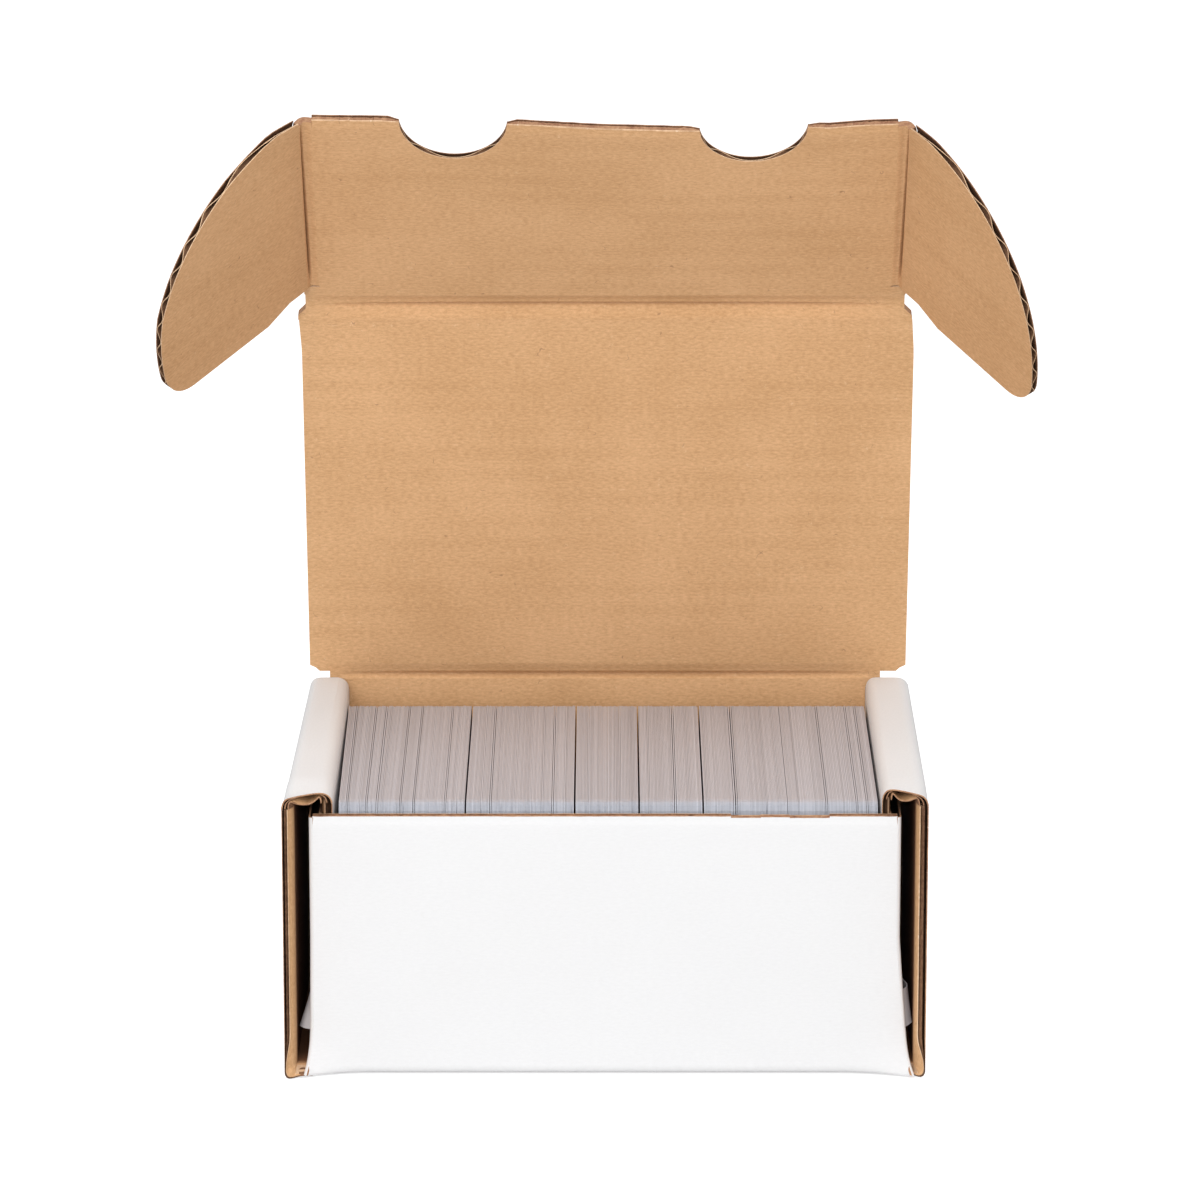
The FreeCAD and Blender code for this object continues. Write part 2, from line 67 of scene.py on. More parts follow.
# %% [markdown]
# Lengths on the box are spoken of in millimetres, and Blender works in metres. The few sizes that
# several panels share are named once here: the thickness of the board and of its liners, the length of
# one wave, the inside of the tray, and the folds at which the lid, the tuck flap and its ears stand.

# %% Sizes that the panels share
MM = 0.001
BOARD = 2.9 * MM
LINER = 0.34 * MM
MEDIUM = 0.24 * MM
WAVE = 6.35 * MM

FRONT_OUT = -52.15 * MM
FRONT_IN = FRONT_OUT + BOARD
BACK_IN = -FRONT_IN
BACK_OUT = -FRONT_OUT
INNER_FACE = 64.75 * MM
INNER_BACK = INNER_FACE + BOARD
SLOT_IN = INNER_BACK + BOARD
OUTER_IN = SLOT_IN + 3.4 * MM
OUTER_FACE = OUTER_IN + BOARD
WALL_FRONT = -55.65 * MM
STRIP_TOP = 71.4 * MM
STRIP_UNDER = STRIP_TOP - BOARD

LID_AXIS = Vector((0, 50.7 * MM, 73.1 * MM))
LID_LEAN = math.radians(14.5)
LID_REACH = 104.85 * MM
FLAP_FOLD = math.radians(20)
FLAP_LENGTH = 62.3 * MM
EAR_AXIS = 72.25 * MM
EAR_FOLD = {-1: math.radians(48), 1: math.radians(52)}
CREASE_HALF = 2.4 * MM
SIDES = {"left": -1, "right": 1}
print("tray, outside:", round(2 * OUTER_FACE / MM, 1), "x", round((BACK_OUT - WALL_FRONT) / MM, 1), "mm")

# %% [markdown]
# A panel is drawn flat first, in its own directions: u along the waves, v across them, and w through the
# board from the white face at 0 to the brown face. A matrix then stands it up where it belongs. The
# third direction is worked out from the other two, so a panel is never turned inside out.


# %% Stand a flat panel up
def stand(u, w, origin):
    """The matrix that takes (u, v, w) of a flat panel to its place on the box."""
    u, w = Vector(u), Vector(w)
    v = w.cross(u)
    turn = Matrix((u, v, w)).transposed().to_4x4()
    return Matrix.Translation(origin) @ turn


lid_frame = Matrix.Translation(LID_AXIS) @ Matrix.Rotation(LID_LEAN, 4, "X")
flap_frame = lid_frame @ Matrix.Translation((0, 0, LID_REACH)) @ Matrix.Rotation(FLAP_FOLD, 4, "X")
ear_hinge = {side: flap_frame @ Matrix.Translation((side * EAR_AXIS, 0, 0)) for side in EAR_FOLD}
ear_frame = {side: ear_hinge[side] @ Matrix.Rotation(-side * EAR_FOLD[side], 4, "Z") for side in EAR_FOLD}
print("fold of the tuck flap at", [round(c / MM, 1) for c in flap_frame.translation])

# %% [markdown]
# Paper is never one flat colour. A fibre here and there is darker or paler than the rest, larger clouds
# of pulp run through the sheet, and faint bars of painted shade over the waves lie across it every few
# millimetres; the same bars also give a slight relief. These effects are shared by several papers, so
# each is a node group with named inputs and outputs, built once. They read the panel's own UV map, which
# holds its flat u and v in metres.


# %% A helper for node groups
def new_group(name, inputs, outputs):
    """An empty shader node group with float or vector sockets, and its two end nodes."""
    group = bpy.data.node_groups.new(name, "ShaderNodeTree")
    for side, sockets in (("INPUT", inputs), ("OUTPUT", outputs)):
        for label, kind in sockets:
            group.interface.new_socket(name=label, in_out=side, socket_type=f"NodeSocket{kind}")
    return group, group.nodes.new("NodeGroupInput"), group.nodes.new("NodeGroupOutput")


# %% Helpers for the nodes inside
def math_node(tree, operation, first, second=None, third=None, clamp=False):
    """A Math node, whose inputs are sockets or numbers."""
    node = tree.nodes.new("ShaderNodeMath")
    node.operation = operation
    node.use_clamp = clamp
    for index, value in enumerate((first, second, third)):
        if isinstance(value, (int, float)):
            node.inputs[index].default_value = value
        elif value is not None:
            tree.links.new(value, node.inputs[index])
    return node.outputs[0]


def spread(tree, vector, scale):
    """The vector stretched by three numbers."""
    node = tree.nodes.new("ShaderNodeVectorMath")
    node.operation = "MULTIPLY"
    tree.links.new(vector, node.inputs[0])
    node.inputs[1].default_value = scale
    return node.outputs[0]


def cloud(tree, vector, scale, detail, roughness=0.55):
    """Noise over a vector, as a number about 0.5."""
    node = tree.nodes.new("ShaderNodeTexNoise")
    tree.links.new(vector, node.inputs["Vector"])
    node.inputs["Scale"].default_value = scale
    node.inputs["Detail"].default_value = detail
    node.inputs["Roughness"].default_value = roughness
    return node.outputs["Fac"]


def between(tree, value, low, high):
    """0 at low and 1 at high, smooth in between. Low may be the larger."""
    node = tree.nodes.new("ShaderNodeMapRange")
    node.interpolation_type = "SMOOTHSTEP"
    tree.links.new(value, node.inputs["Value"])
    node.inputs["From Min"].default_value = min(low, high)
    node.inputs["From Max"].default_value = max(low, high)
    if low > high:
        node.inputs["To Min"].default_value = 1
        node.inputs["To Max"].default_value = 0
    return node.outputs["Result"]


print("helpers: math_node, spread, cloud, between")

# %% [markdown]
# A dark hair in the pulp is long, thin and bent. The line along which a soft noise passes through its
# middle value has just that shape, so hairs are where the noise is within a hair's width of 0.5, and a
# second noise keeps only short stretches of them.

# %% Fibres, specks and pulp
pulp, pulp_in, pulp_out = new_group(
    "paper_pulp",
    [("Vector", "Vector")],
    [("Cloud", "Float"), ("Grain", "Float"), ("Dark Specks", "Float"), ("Pale Fibres", "Float")],
)
where = pulp_in.outputs["Vector"]
pulp.links.new(cloud(pulp, where, 30, 5, 0.6), pulp_out.inputs["Cloud"])
pulp.links.new(cloud(pulp, spread(pulp, where, (700, 1900, 700)), 1.0, 4, 0.75), pulp_out.inputs["Grain"])
HAIR_FADES, HAIR_FULL = 0.012, 0.004


def hair_lines(scale, keep, low):
    """Thin bent lines of about a hair's width, in short stretches."""
    field = cloud(pulp, where, scale, 1, 0.4)
    distance = math_node(pulp, "ABSOLUTE", math_node(pulp, "SUBTRACT", field, 0.5))
    kept = between(pulp, cloud(pulp, where, keep, 1), low, low + 0.05)
    return math_node(pulp, "MULTIPLY", between(pulp, distance, HAIR_FADES, HAIR_FULL), kept)


dots = between(pulp, cloud(pulp, where, 1500, 1), 0.79, 0.84)
dark_hairs = hair_lines(300, 330, 0.66)
pulp.links.new(math_node(pulp, "ADD", dark_hairs, dots, clamp=True), pulp_out.inputs["Dark Specks"])
pulp.links.new(hair_lines(700, 500, 0.60), pulp_out.inputs["Pale Fibres"])
print("node group:", pulp.name)

# %% Bars of painted shade over the waves
bars, bars_in, bars_out = new_group("wave_bars", [("Vector", "Vector")], [("Bar", "Float")])
where = bars_in.outputs["Vector"]
split = bars.nodes.new("ShaderNodeSeparateXYZ")
bars.links.new(where, split.inputs[0])
wobble = math_node(bars, "MULTIPLY", cloud(bars, where, 24, 2), 0.9)
turns = math_node(bars, "MULTIPLY_ADD", split.outputs["Y"], 2 * math.pi / WAVE, wobble)
wave = math_node(bars, "MULTIPLY_ADD", math_node(bars, "SINE", turns), 0.5, 0.5)
strength = between(bars, cloud(bars, spread(bars, where, (14, 60, 14)), 1.0, 2), 0.35, 0.65)
bars.links.new(math_node(bars, "MULTIPLY", wave, strength), bars_out.inputs["Bar"])
print("node group:", bars.name)

# %% [markdown]
# Brown kraft is made from long unbleached fibres. It is a warm tan, rougher than office paper, with dark
# hairs and pale fibres. The white liner is the same paper with a bleached, smoother face. The medium is
# painted darker, as shade inside the board. A cut rim of kraft is given a paler colour than the face beside
# it. All of them share one recipe and differ only in its values. An attribute darkens the paper with painted
# shade, in creases, slots, narrow gaps and on faces turned from the light. The grain is counted from its
# middle value, so a strong grain leaves the average colour alone.


# %% One recipe for all the papers
GRAIN = 3.0
COLOUR_A, COLOUR_B, COLOUR_OUT = 6, 7, 2


def mix_colour(tree, factor, first, second):
    """A colour Mix node. Colours are sockets or (r, g, b)."""
    node = tree.nodes.new("ShaderNodeMix")
    node.data_type = "RGBA"
    tree.links.new(factor, node.inputs["Factor"])
    for socket, value in ((node.inputs[COLOUR_A], first), (node.inputs[COLOUR_B], second)):
        if isinstance(value, tuple):
            socket.default_value = (*value, 1)
        else:
            tree.links.new(value, socket)
    return node.outputs[COLOUR_OUT]


def group_node(tree, group, vector):
    """A node group placed in a material, fed with a vector."""
    node = tree.nodes.new("ShaderNodeGroup")
    node.node_tree = group
    tree.links.new(vector, node.inputs["Vector"])
    return node


def paper(name, face, shade, speck, pale, shade_colour, rough, bar=0.16, cloudy=0.6, specks=0.6, bump=0.3):
    """A paper: its colours, its roughness, and how strong its bars, clouds, specks and relief are."""
    material = bpy.data.materials.new(name)
    material.use_nodes = True
    tree = material.node_tree
    shader = tree.nodes["Principled BSDF"]
    uv = tree.nodes.new("ShaderNodeUVMap")
    uv.uv_map = "board"
    fibre = group_node(tree, pulp, uv.outputs["UV"])
    ribs = group_node(tree, bars, uv.outputs["UV"])
    body = math_node(tree, "MULTIPLY_ADD", fibre.outputs["Cloud"], 2 * cloudy, 0.5 - cloudy - GRAIN / 2)
    body = math_node(tree, "MULTIPLY_ADD", fibre.outputs["Grain"], GRAIN, body)
    # painted shade: the bars darken the colour over the waves, and below they also raise the relief
    body = math_node(tree, "MULTIPLY_ADD", ribs.outputs["Bar"], bar, body, clamp=True)
    colour = mix_colour(tree, body, face, shade)
    for mask, hair in (("Pale Fibres", pale), ("Dark Specks", speck)):
        colour = mix_colour(tree, math_node(tree, "MULTIPLY", fibre.outputs[mask], specks), colour, hair)
    # painted shade: the attribute mixes in the paper's shade colour where shade falls on it
    crease = tree.nodes.new("ShaderNodeAttribute")
    crease.attribute_name = "crease"
    colour = mix_colour(tree, crease.outputs["Fac"], colour, shade_colour)
    tree.links.new(colour, shader.inputs["Base Color"])
    rough_here = math_node(tree, "MULTIPLY_ADD", fibre.outputs["Grain"], 0.16, rough - 0.08)
    tree.links.new(rough_here, shader.inputs["Roughness"])
    shader.inputs["Specular IOR Level"].default_value = 0.25
    height = math_node(tree, "MULTIPLY_ADD", fibre.outputs["Pale Fibres"], 0.3, fibre.outputs["Grain"])
    height = math_node(tree, "MULTIPLY_ADD", ribs.outputs["Bar"], 0.5, height)
    relief = tree.nodes.new("ShaderNodeBump")
    relief.inputs["Strength"].default_value = bump
    relief.inputs["Distance"].default_value = 0.12 * MM
    tree.links.new(height, relief.inputs["Height"])
    tree.links.new(relief.outputs["Normal"], shader.inputs["Normal"])
    return material


# %% The papers
PAPERS = (
    paper("white_liner", face=(0.79, 0.79, 0.797), shade=(0.76, 0.759, 0.765), speck=(0.60, 0.57, 0.54),
          pale=(0.785, 0.78, 0.785), shade_colour=(0.34, 0.31, 0.33), rough=0.62,
          bar=0.05, cloudy=0.5, specks=0.08, bump=0.10),
    paper("kraft_liner", face=(0.745, 0.452, 0.24), shade=(0.565, 0.32, 0.15), speck=(0.20, 0.09, 0.04),
          pale=(0.80, 0.56, 0.34), shade_colour=(0.16, 0.065, 0.03), rough=0.86, specks=0.45),
    # the medium's own brown, painted much darker as shade inside the board
    paper("board_inside_shade", face=(0.30, 0.16, 0.085), shade=(0.11, 0.05, 0.028), speck=(0.03, 0.012, 0.008),
          pale=(0.30, 0.17, 0.09), shade_colour=(0.012, 0.006, 0.004), rough=0.92, bar=0.0, cloudy=0.9),
    paper("cut_rim", face=(0.80, 0.56, 0.36), shade=(0.55, 0.335, 0.19), speck=(0.30, 0.16, 0.08),
          pale=(0.90, 0.74, 0.58), shade_colour=(0.20, 0.10, 0.06), rough=0.9, bar=0.0, cloudy=1.2, bump=0.5),
    paper("torn_medium", face=(0.52, 0.30, 0.17), shade=(0.28, 0.13, 0.075), speck=(0.10, 0.04, 0.02),
          pale=(0.80, 0.62, 0.46), shade_colour=(0.10, 0.05, 0.03), rough=0.95,
          bar=0.0, cloudy=1.3, specks=0.8, bump=0.6),
)
WHITE, KRAFT, INSIDE_SHADE, RIM, TORN = range(len(PAPERS))
print("papers:", [material.name for material in PAPERS])

# %% [markdown]
# The corrugated board itself: each liner is a grid given a thickness, and the medium is a finer grid
# whose points are lifted into waves before it too gets a thickness. The alternative, one solid slab with
# a striped picture on its edge, would look wrong wherever a curved cut crosses the waves. Real layers
# also let a die press the board flat along a crease and let a blade leave a slightly ragged edge.


# %% Select, apply, place
def only(thing):
    """Select one object and make it active."""
    if bpy.context.object and bpy.context.object.mode != "OBJECT":
        bpy.ops.object.mode_set(mode="OBJECT")
    bpy.ops.object.select_all(action="DESELECT")
    thing.select_set(True)
    bpy.context.view_layer.objects.active = thing


def apply_modifier(thing, kind, **settings):
    """Add a modifier with its settings and apply it."""
    only(thing)
    modifier = thing.modifiers.new(kind.lower(), kind)
    for key, value in settings.items():
        setattr(modifier, key, value)
    bpy.ops.object.modifier_apply(modifier=modifier.name)


def reshape(thing, rule):
    """Move every point of a mesh to where a rule takes it."""
    for vertex in thing.data.vertices:
        vertex.co = rule(vertex.co.copy())
    thing.data.update()


def face_outwards(thing):
    """Turn all faces of a closed mesh outwards."""
    only(thing)
    bpy.ops.object.mode_set(mode="EDIT")
    bpy.ops.mesh.select_all(action="SELECT")
    bpy.ops.mesh.normals_make_consistent(inside=False)
    bpy.ops.object.mode_set(mode="OBJECT")


print("one wave is", WAVE / MM, "mm long and the board", BOARD / MM, "mm thick")


# %% Sheets and waves
ROWS_PER_WAVE = 14


def flat_grid(u, v, w, cells_u, cells_v):
    """A grid over two ranges at the height w."""
    bpy.ops.object.select_all(action="DESELECT")
    middle = ((u[0] + u[1]) / 2, (v[0] + v[1]) / 2, w)
    bpy.ops.mesh.primitive_grid_add(x_subdivisions=cells_u, y_subdivisions=cells_v, size=1, location=middle)
    grid = bpy.context.object
    grid.scale = (u[1] - u[0], v[1] - v[0], 1)
    bpy.ops.object.transform_apply()
    return grid


def layers(u, v, cell=3 * MM, first_crest=None):
    """The two liners and the waves of a flat piece of board, as three closed sheets."""
    cells_u = max(2, round((u[1] - u[0]) / cell))
    cells_v = max(2, round((v[1] - v[0]) / cell))
    outer = flat_grid(u, v, LINER / 2, cells_u, cells_v)
    inner = flat_grid(u, v, BOARD - LINER / 2, cells_u, cells_v)
    wave_rows = max(8, round((v[1] - v[0]) / WAVE * ROWS_PER_WAVE))
    waves = flat_grid(u, v, BOARD / 2, max(2, cells_u // 3), wave_rows)
    rise = (BOARD - 2 * LINER - MEDIUM) / 2
    start = v[1] if first_crest is None else first_crest
    reshape(waves, lambda p: Vector((p.x, p.y, p.z + rise * math.cos(2 * math.pi * (p.y - start) / WAVE))))
    apply_modifier(outer, "SOLIDIFY", thickness=LINER, offset=0)
    apply_modifier(inner, "SOLIDIFY", thickness=LINER, offset=0)
    apply_modifier(waves, "SOLIDIFY", thickness=MEDIUM, offset=0, use_even_offset=True)
    return [outer, waves, inner]


def rows(sheets, axis, first, last, count):
    """Cut more rows of points across the sheets, where they will be bent or pressed."""
    across = Vector((1, 0, 0)) if axis == 0 else Vector((0, 1, 0))
    for sheet in sheets:
        only(sheet)
        bpy.ops.object.mode_set(mode="EDIT")
        for step in range(count + 1):
            bpy.ops.mesh.select_all(action="SELECT")
            bpy.ops.mesh.bisect(plane_co=across * (first + (last - first) * step / count), plane_no=across)
        bpy.ops.object.mode_set(mode="OBJECT")


# %% Pressed lines and ragged edges
CORE = (0.5 * MM, 2.4 * MM)
CORE_CELLS = 160
BITES, TEARS = 260, 420


def near(value, place, reach):
    """1 at a place, falling smoothly to 0 a reach away from it."""
    closeness = max(0.0, 1 - abs(value - place) / reach)
    return closeness * closeness * (3 - 2 * closeness)


def ramp(value, low, high):
    """0 up to low, 1 from high on, straight in between."""
    return min(max((value - low) / (high - low), 0), 1)


def press(sheets, axis, place, reach, amount, towards=0.5):
    """Press the board flat along a line. towards is 0 for the white face, 1 for the brown, 0.5 for both."""
    level = BOARD * towards
    for sheet in sheets:
        for vertex in sheet.data.vertices:
            squeeze = amount * near(vertex.co[axis], place, reach)
            vertex.co.z = level + (vertex.co.z - level) * (1 - squeeze)


def ragged(sheets, axis, edge, depth, seed):
    """Leave a cut edge a little uneven, each layer in its own way."""
    for number, sheet in enumerate(sheets):
        for vertex in sheet.data.vertices:
            if abs(vertex.co[axis] - edge) > 0.4 * MM:
                continue
            run = vertex.co[1 - axis] * BITES
            bite = abs(noise.noise((run, seed + number * 3.7, 0)))
            bite += 0.5 * abs(noise.noise((run * 3.1, seed, 5)))
            vertex.co[axis] -= math.copysign(bite * depth, edge)


def torn_core(u, v, seed):
    """A strip of torn medium between the liners, just inside a cut edge that runs with the waves."""
    strip = flat_grid(u, v, sum(CORE) / 2, CORE_CELLS, 3)
    apply_modifier(strip, "SOLIDIFY", thickness=CORE[1] - CORE[0], offset=0)
    edge = max(v, key=abs)

    def tear(point):
        run = point.x * TEARS
        bite = 0.35 * abs(noise.noise((run, seed, 0)))
        bite += 0.3 * abs(noise.noise((run * 2.7, seed, point.z * 900)))
        if abs(point.y - edge) < 0.2 * MM:
            point.y -= math.copysign(bite * MM, edge)
        return point

    reshape(strip, tear)
    return strip


print("the liners are", LINER / MM, "mm thick and the medium", MEDIUM / MM, "mm")

# %% [markdown]
# Each sheet of the board knows which paper it shows. The outer side of the white liner is white, the
# inner side of the brown liner is kraft, and the inside of the board is painted dark as shade. The cut rims
# of the brown liner and of the waves are pale. The white liner tears as it is cut, so its rim is rougher and
# darker.
# The papers and the UV map are given while the panel is still flat, so that the pattern follows it round
# every bend. A little of the depth goes into the map too, so that nothing smears on a rim.


# %% Papers for a flat panel
def paper_of(number, up):
    """The paper of a face. Sheet 0 is the white liner, 1 the waves, 2 the brown liner, 3 a torn core."""
    if number > 2:
        return TORN
    if abs(up) < 0.5:
        return RIM if number else TORN
    if number == 0 and up < 0:
        return WHITE
    if number == 2 and up > 0:
        return KRAFT
    return INSIDE_SHADE


def dress(sheets, shift=(0, 0), rule=paper_of):
    """Give flat sheets their papers, a UV map of their flat place, and the attribute for painted shade."""
    for number, sheet in enumerate(sheets):
        mesh = sheet.data
        mesh.materials.clear()
        for material in PAPERS:
            mesh.materials.append(material)
        for face in mesh.polygons:
            face.material_index = rule(number, face.normal.z)
        for layer in list(mesh.uv_layers):
            mesh.uv_layers.remove(layer)
        uv = mesh.uv_layers.new(name="board")
        for loop in mesh.loops:
            point = mesh.vertices[loop.vertex_index].co
            uv.data[loop.index].uv = (point.x + shift[0], point.y + shift[1] + 0.3 * point.z)
        mesh.attributes.new("crease", "FLOAT", "POINT")


def paint_shade(sheets, rule):
    """Write how much painted shade darkens the paper at each point, from 0 to 1."""
    for sheet in sheets:
        values = sheet.data.attributes["crease"].data
        for vertex in sheet.data.vertices:
            values[vertex.index].value = max(values[vertex.index].value, rule(vertex.co))


print("paper of a cut rim:", PAPERS[paper_of(0, 0)].name)

# %% [markdown]
# A fold in this board is tight: the brown face meets in a sharp inner line, and only the white face is
# rounded, with a radius well under the thickness of the board. Each layer goes straight on to its own
# small arc, turns, and goes straight on. A quarter turn uses up a short run of the flat board.

# %% Fold, join and finish
FOLD_RUN = 2.6 * MM


def fold(sheets, axis, start, towards, outer_radius):
    """Fold the board a quarter turn round the line where its brown face meets, past start."""
    for sheet in sheets:
        for vertex in sheet.data.vertices:
            past = towards * (vertex.co[axis] - start)
            if past <= 0:
                continue
            deep = BOARD - vertex.co.z
            radius = min(outer_radius, deep)
            straight = deep - radius
            run = min(past / FOLD_RUN, 1) * (2 * straight + radius * math.pi / 2)
            turn = min(max((run - straight) / max(radius, 1e-9), 0), math.pi / 2)
            across = min(run, straight) + radius * math.sin(turn)
            up = deep - radius * (1 - math.cos(turn)) - max(0, run - straight - radius * math.pi / 2)
            vertex.co[axis] = start + towards * across
            vertex.co.z = BOARD - up + max(0, past - FOLD_RUN)


def join(things, name):
    """Join objects into one with a name."""
    only(things[0])
    for thing in things:
        thing.select_set(True)
    bpy.ops.object.join()
    whole = bpy.context.object
    whole.name = whole.data.name = name
    return whole


def finish_piece(piece, matrix, body=None, node=None, settle=None):
    """Stand a piece in its place, smooth it, and let it ride on its body in place of a node."""
    piece.data.transform(matrix)
    if settle:
        reshape(piece, settle)
    only(piece)
    bpy.ops.object.shade_smooth_by_angle(angle=math.radians(35))
    if body:
        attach(piece, body)
    if node:
        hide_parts(node)
    print(piece.name, len(piece.data.polygons), "faces")
    return piece


# %% [markdown]
# The bottom lies flat with its white face down. Its waves run from left to right. It ends at the folds
# to the front and to the side walls, and those panels bring their own rounded feet. The four slots that
# take the lock tabs are cut with boxes, as a die would. Round holes are cut with cylinders.


# %% Cutters
def box_cutter(low, high):
    """A box between two corners, to cut with."""
    bpy.ops.object.select_all(action="DESELECT")
    middle = [(a + b) / 2 for a, b in zip(low, high)]
    bpy.ops.mesh.primitive_cube_add(size=1, location=middle)
    cutter = bpy.context.object
    cutter.scale = [b - a for a, b in zip(low, high)]
    bpy.ops.object.transform_apply()
    return cutter


def round_cutter(u, v, radius, sides):
    """A cylinder that goes through a flat board, to cut with."""
    bpy.ops.object.select_all(action="DESELECT")
    location = (u, v, BOARD / 2)
    bpy.ops.mesh.primitive_cylinder_add(vertices=sides, radius=radius, depth=4 * BOARD, location=location)
    return bpy.context.object


def cut(sheets, cutter, operation="DIFFERENCE"):
    """Cut every sheet with a cutter, then throw the cutter away."""
    for sheet in sheets:
        apply_modifier(sheet, "BOOLEAN", object=cutter, operation=operation, solver="EXACT")
    bpy.data.objects.remove(cutter)


def cut_box(sheets, u, v):
    """Cut a rectangle out of a flat board, through all its layers."""
    u, v = sorted(u), sorted(v)
    cut(sheets, box_cutter((u[0], v[0], -2 * BOARD), (u[1], v[1], 3 * BOARD)))


# %% Bottom
BOTTOM_SIDE = SLOT_IN - 0.3 * MM
TAB_MIDDLE, TAB_HALF, TAB_PLAY = 25 * MM, 9 * MM, 0.2 * MM
bottom = layers((-BOTTOM_SIDE, BOTTOM_SIDE), (FRONT_IN, BACK_IN), cell=3.2 * MM)
for side in SIDES.values():
    for middle in (-TAB_MIDDLE, TAB_MIDDLE):
        cut_box(bottom, (side * (INNER_FACE - TAB_PLAY), side * (INNER_BACK + TAB_PLAY)),
                (middle - TAB_HALF - TAB_PLAY, middle + TAB_HALF + TAB_PLAY))
dress(bottom)
finish_piece(join(bottom, "bottom_board"), Matrix(), "tray", "bottom_panel")

# %% [markdown]
# The front and the back are folded up from the bottom. The front's top edge is a raw cut along the
# waves: the two liners show as pale lines with torn medium between. A shallow piece has been torn out of
# it on the right, in four steps. The front's lower corners have sprung forwards and outwards.


# %% The front's sprung corners
SPRUNG = {-1: (0.3 * MM, 1.9 * MM), 1: (1.9 * MM, 2.4 * MM)}


def spring(point):
    """Where a point near a lower front corner has sprung to: a gentle bow, and a sharp kick at the foot."""
    side = 1 if point.x > 0 else -1
    corner = ramp(abs(point.x), 57 * MM, 69.6 * MM) ** 2 * (1 - ramp(point.y, FRONT_OUT, FRONT_OUT + 7 * MM))
    sharply = corner * (1 - ramp(point.z, 0, 14 * MM)) ** 2.5
    gently = corner * (1 - ramp(point.z, 10 * MM, 34 * MM))
    bowed, sprung = SPRUNG[side]
    point.x += side * (bowed * gently + sprung * sharply)
    point.y -= (2.2 + 1.8 * (1 - ramp(point.z, 0, 1.8 * MM)) ** 2) * MM * sharply
    return point


# %% Front
FRONT_TOP = 64.55 * MM
FRONT_SIDE = SLOT_IN - 0.9 * MM
TORN_OUT = ((-37.1, -30.0, 0.35), (-44.0, -37.1, 0.22), (-45.2, -44.0, 0.42), (-53.5, -45.2, 0.36))
front = layers((-FRONT_SIDE, FRONT_SIDE), (BOARD - FOLD_RUN, FRONT_TOP), cell=2 * MM)
front.append(torn_core((-FRONT_SIDE, FRONT_SIDE), (FRONT_TOP - 2.2 * MM, FRONT_TOP - 0.1 * MM), seed=2.0))
for first, last, depth in TORN_OUT:
    cut_box(front, (first * MM, last * MM), (FRONT_TOP - depth * MM, FRONT_TOP + BOARD))
rows(front[:3], 1, BOARD - FOLD_RUN, BOARD, 8)
rows(front[:3], 1, FRONT_TOP - 3 * MM, FRONT_TOP - 0.6 * MM, 3)
press(front, 1, FRONT_TOP, 2.6 * MM, 0.16)
ragged(front, 1, FRONT_TOP, 0.12 * MM, 4.0)
dress(front)
fold(front, 1, BOARD, -1, 1.8 * MM)
front_place = stand((-1, 0, 0), (0, 1, 0), (0, FRONT_OUT, 0))
finish_piece(join(front, "front_board"), front_place, "tray", "front_panel", settle=spring)

# %% Back
BACK_TOP = LID_AXIS.z - CREASE_HALF
back = layers((-FRONT_SIDE, FRONT_SIDE), (BOARD - FOLD_RUN, BACK_TOP))
rows(back, 1, BOARD - FOLD_RUN, BOARD, 6)
dress(back, (0.4, 0.1))
fold(back, 1, BOARD, -1, 1.8 * MM)
back_place = stand((1, 0, 0), (0, -1, 0), (0, BACK_OUT, 0))
finish_piece(join(back, "back_board"), back_place, "tray", "back_panel")

# %% [markdown]
# In the side walls the waves stand upright, so the front edge of a wall is one long cut along a wave: the
# medium starts about midway between the liners and meets the brown one a little further back. The edge
# runs back on a slant, and at the foot, where the wall folds into the bottom, everything is pinched
# together. The inner wall is the same sheet rolled over, so it is white towards the cards, and its two
# tabs stand in the slots of the bottom. Wear comes last: the tops have sagged near the front, the left
# wall leans in, and the cards push the right inner wall out.

# %% How the top of the wall has settled
SAG = {-1: (0.8, 1.5), 1: (-0.15, 0.6)}


def sag(point):
    """How far the top of a side wall has dropped near its front end, more outside than inside."""
    inside, outside = SAG[1 if point.x > 0 else -1]
    outwards = (abs(point.x) - INNER_FACE) / (OUTER_FACE - INNER_FACE)
    return near(point.y, -54 * MM, 13 * MM) * (inside + (outside - inside) * outwards) * MM


def settle_wall(point):
    """Let a wall follow its strip. The left wall leans in, and the cards push the right inner wall out."""
    point.z -= ramp(point.z, 56 * MM, STRIP_UNDER) * sag(point)
    if point.x < -INNER_BACK:
        lean = 0.8 * ramp(point.y, -54 * MM, -38 * MM) + 1.4 * ramp(point.y, -38 * MM, 50 * MM)
        outwards = ramp(abs(point.x), INNER_FACE if point.z > STRIP_UNDER - MM else OUTER_IN, OUTER_FACE)
        point.x += lean * MM * outwards * ramp(point.z, 20 * MM, 66 * MM)
    elif point.x > 0:
        bulge = 1.1 * (1 - ramp(point.x, INNER_FACE, SLOT_IN))
        point.x += bulge * MM * ramp(point.z, 30 * MM, 60 * MM)
    return point


# %% Outer walls
WALL_PINCH, FOOT_PINCH = {-1: 0.48, 1: 0.25}, 0.86
SLANT = {-1: (-0.9, 2.0), 1: (0.3, 3.9)}


def slant(side, height):
    """How far the front edge has moved back, from the foot of the wall on across the floor of the slot."""
    start, stop = SLANT[side]
    share = ramp(-height, -1.5 * MM, BOTTOM_SIDE - OUTER_IN + 3.9 * MM)
    return (start * ramp(-height, -8 * MM, -1.5 * MM) + (stop - start) * share) * MM


def slot_painted_shade(point, side):
    """Painted shade on the brown face in the slot, darker behind the front edge, but not at the rear."""
    behind = abs(point.y - side * WALL_FRONT)
    return 0.97 * ramp(behind, 1.2 * MM, 5 * MM) * (1 - ramp(behind, 60 * MM, 90 * MM)) * (point.z > 1.2 * MM)


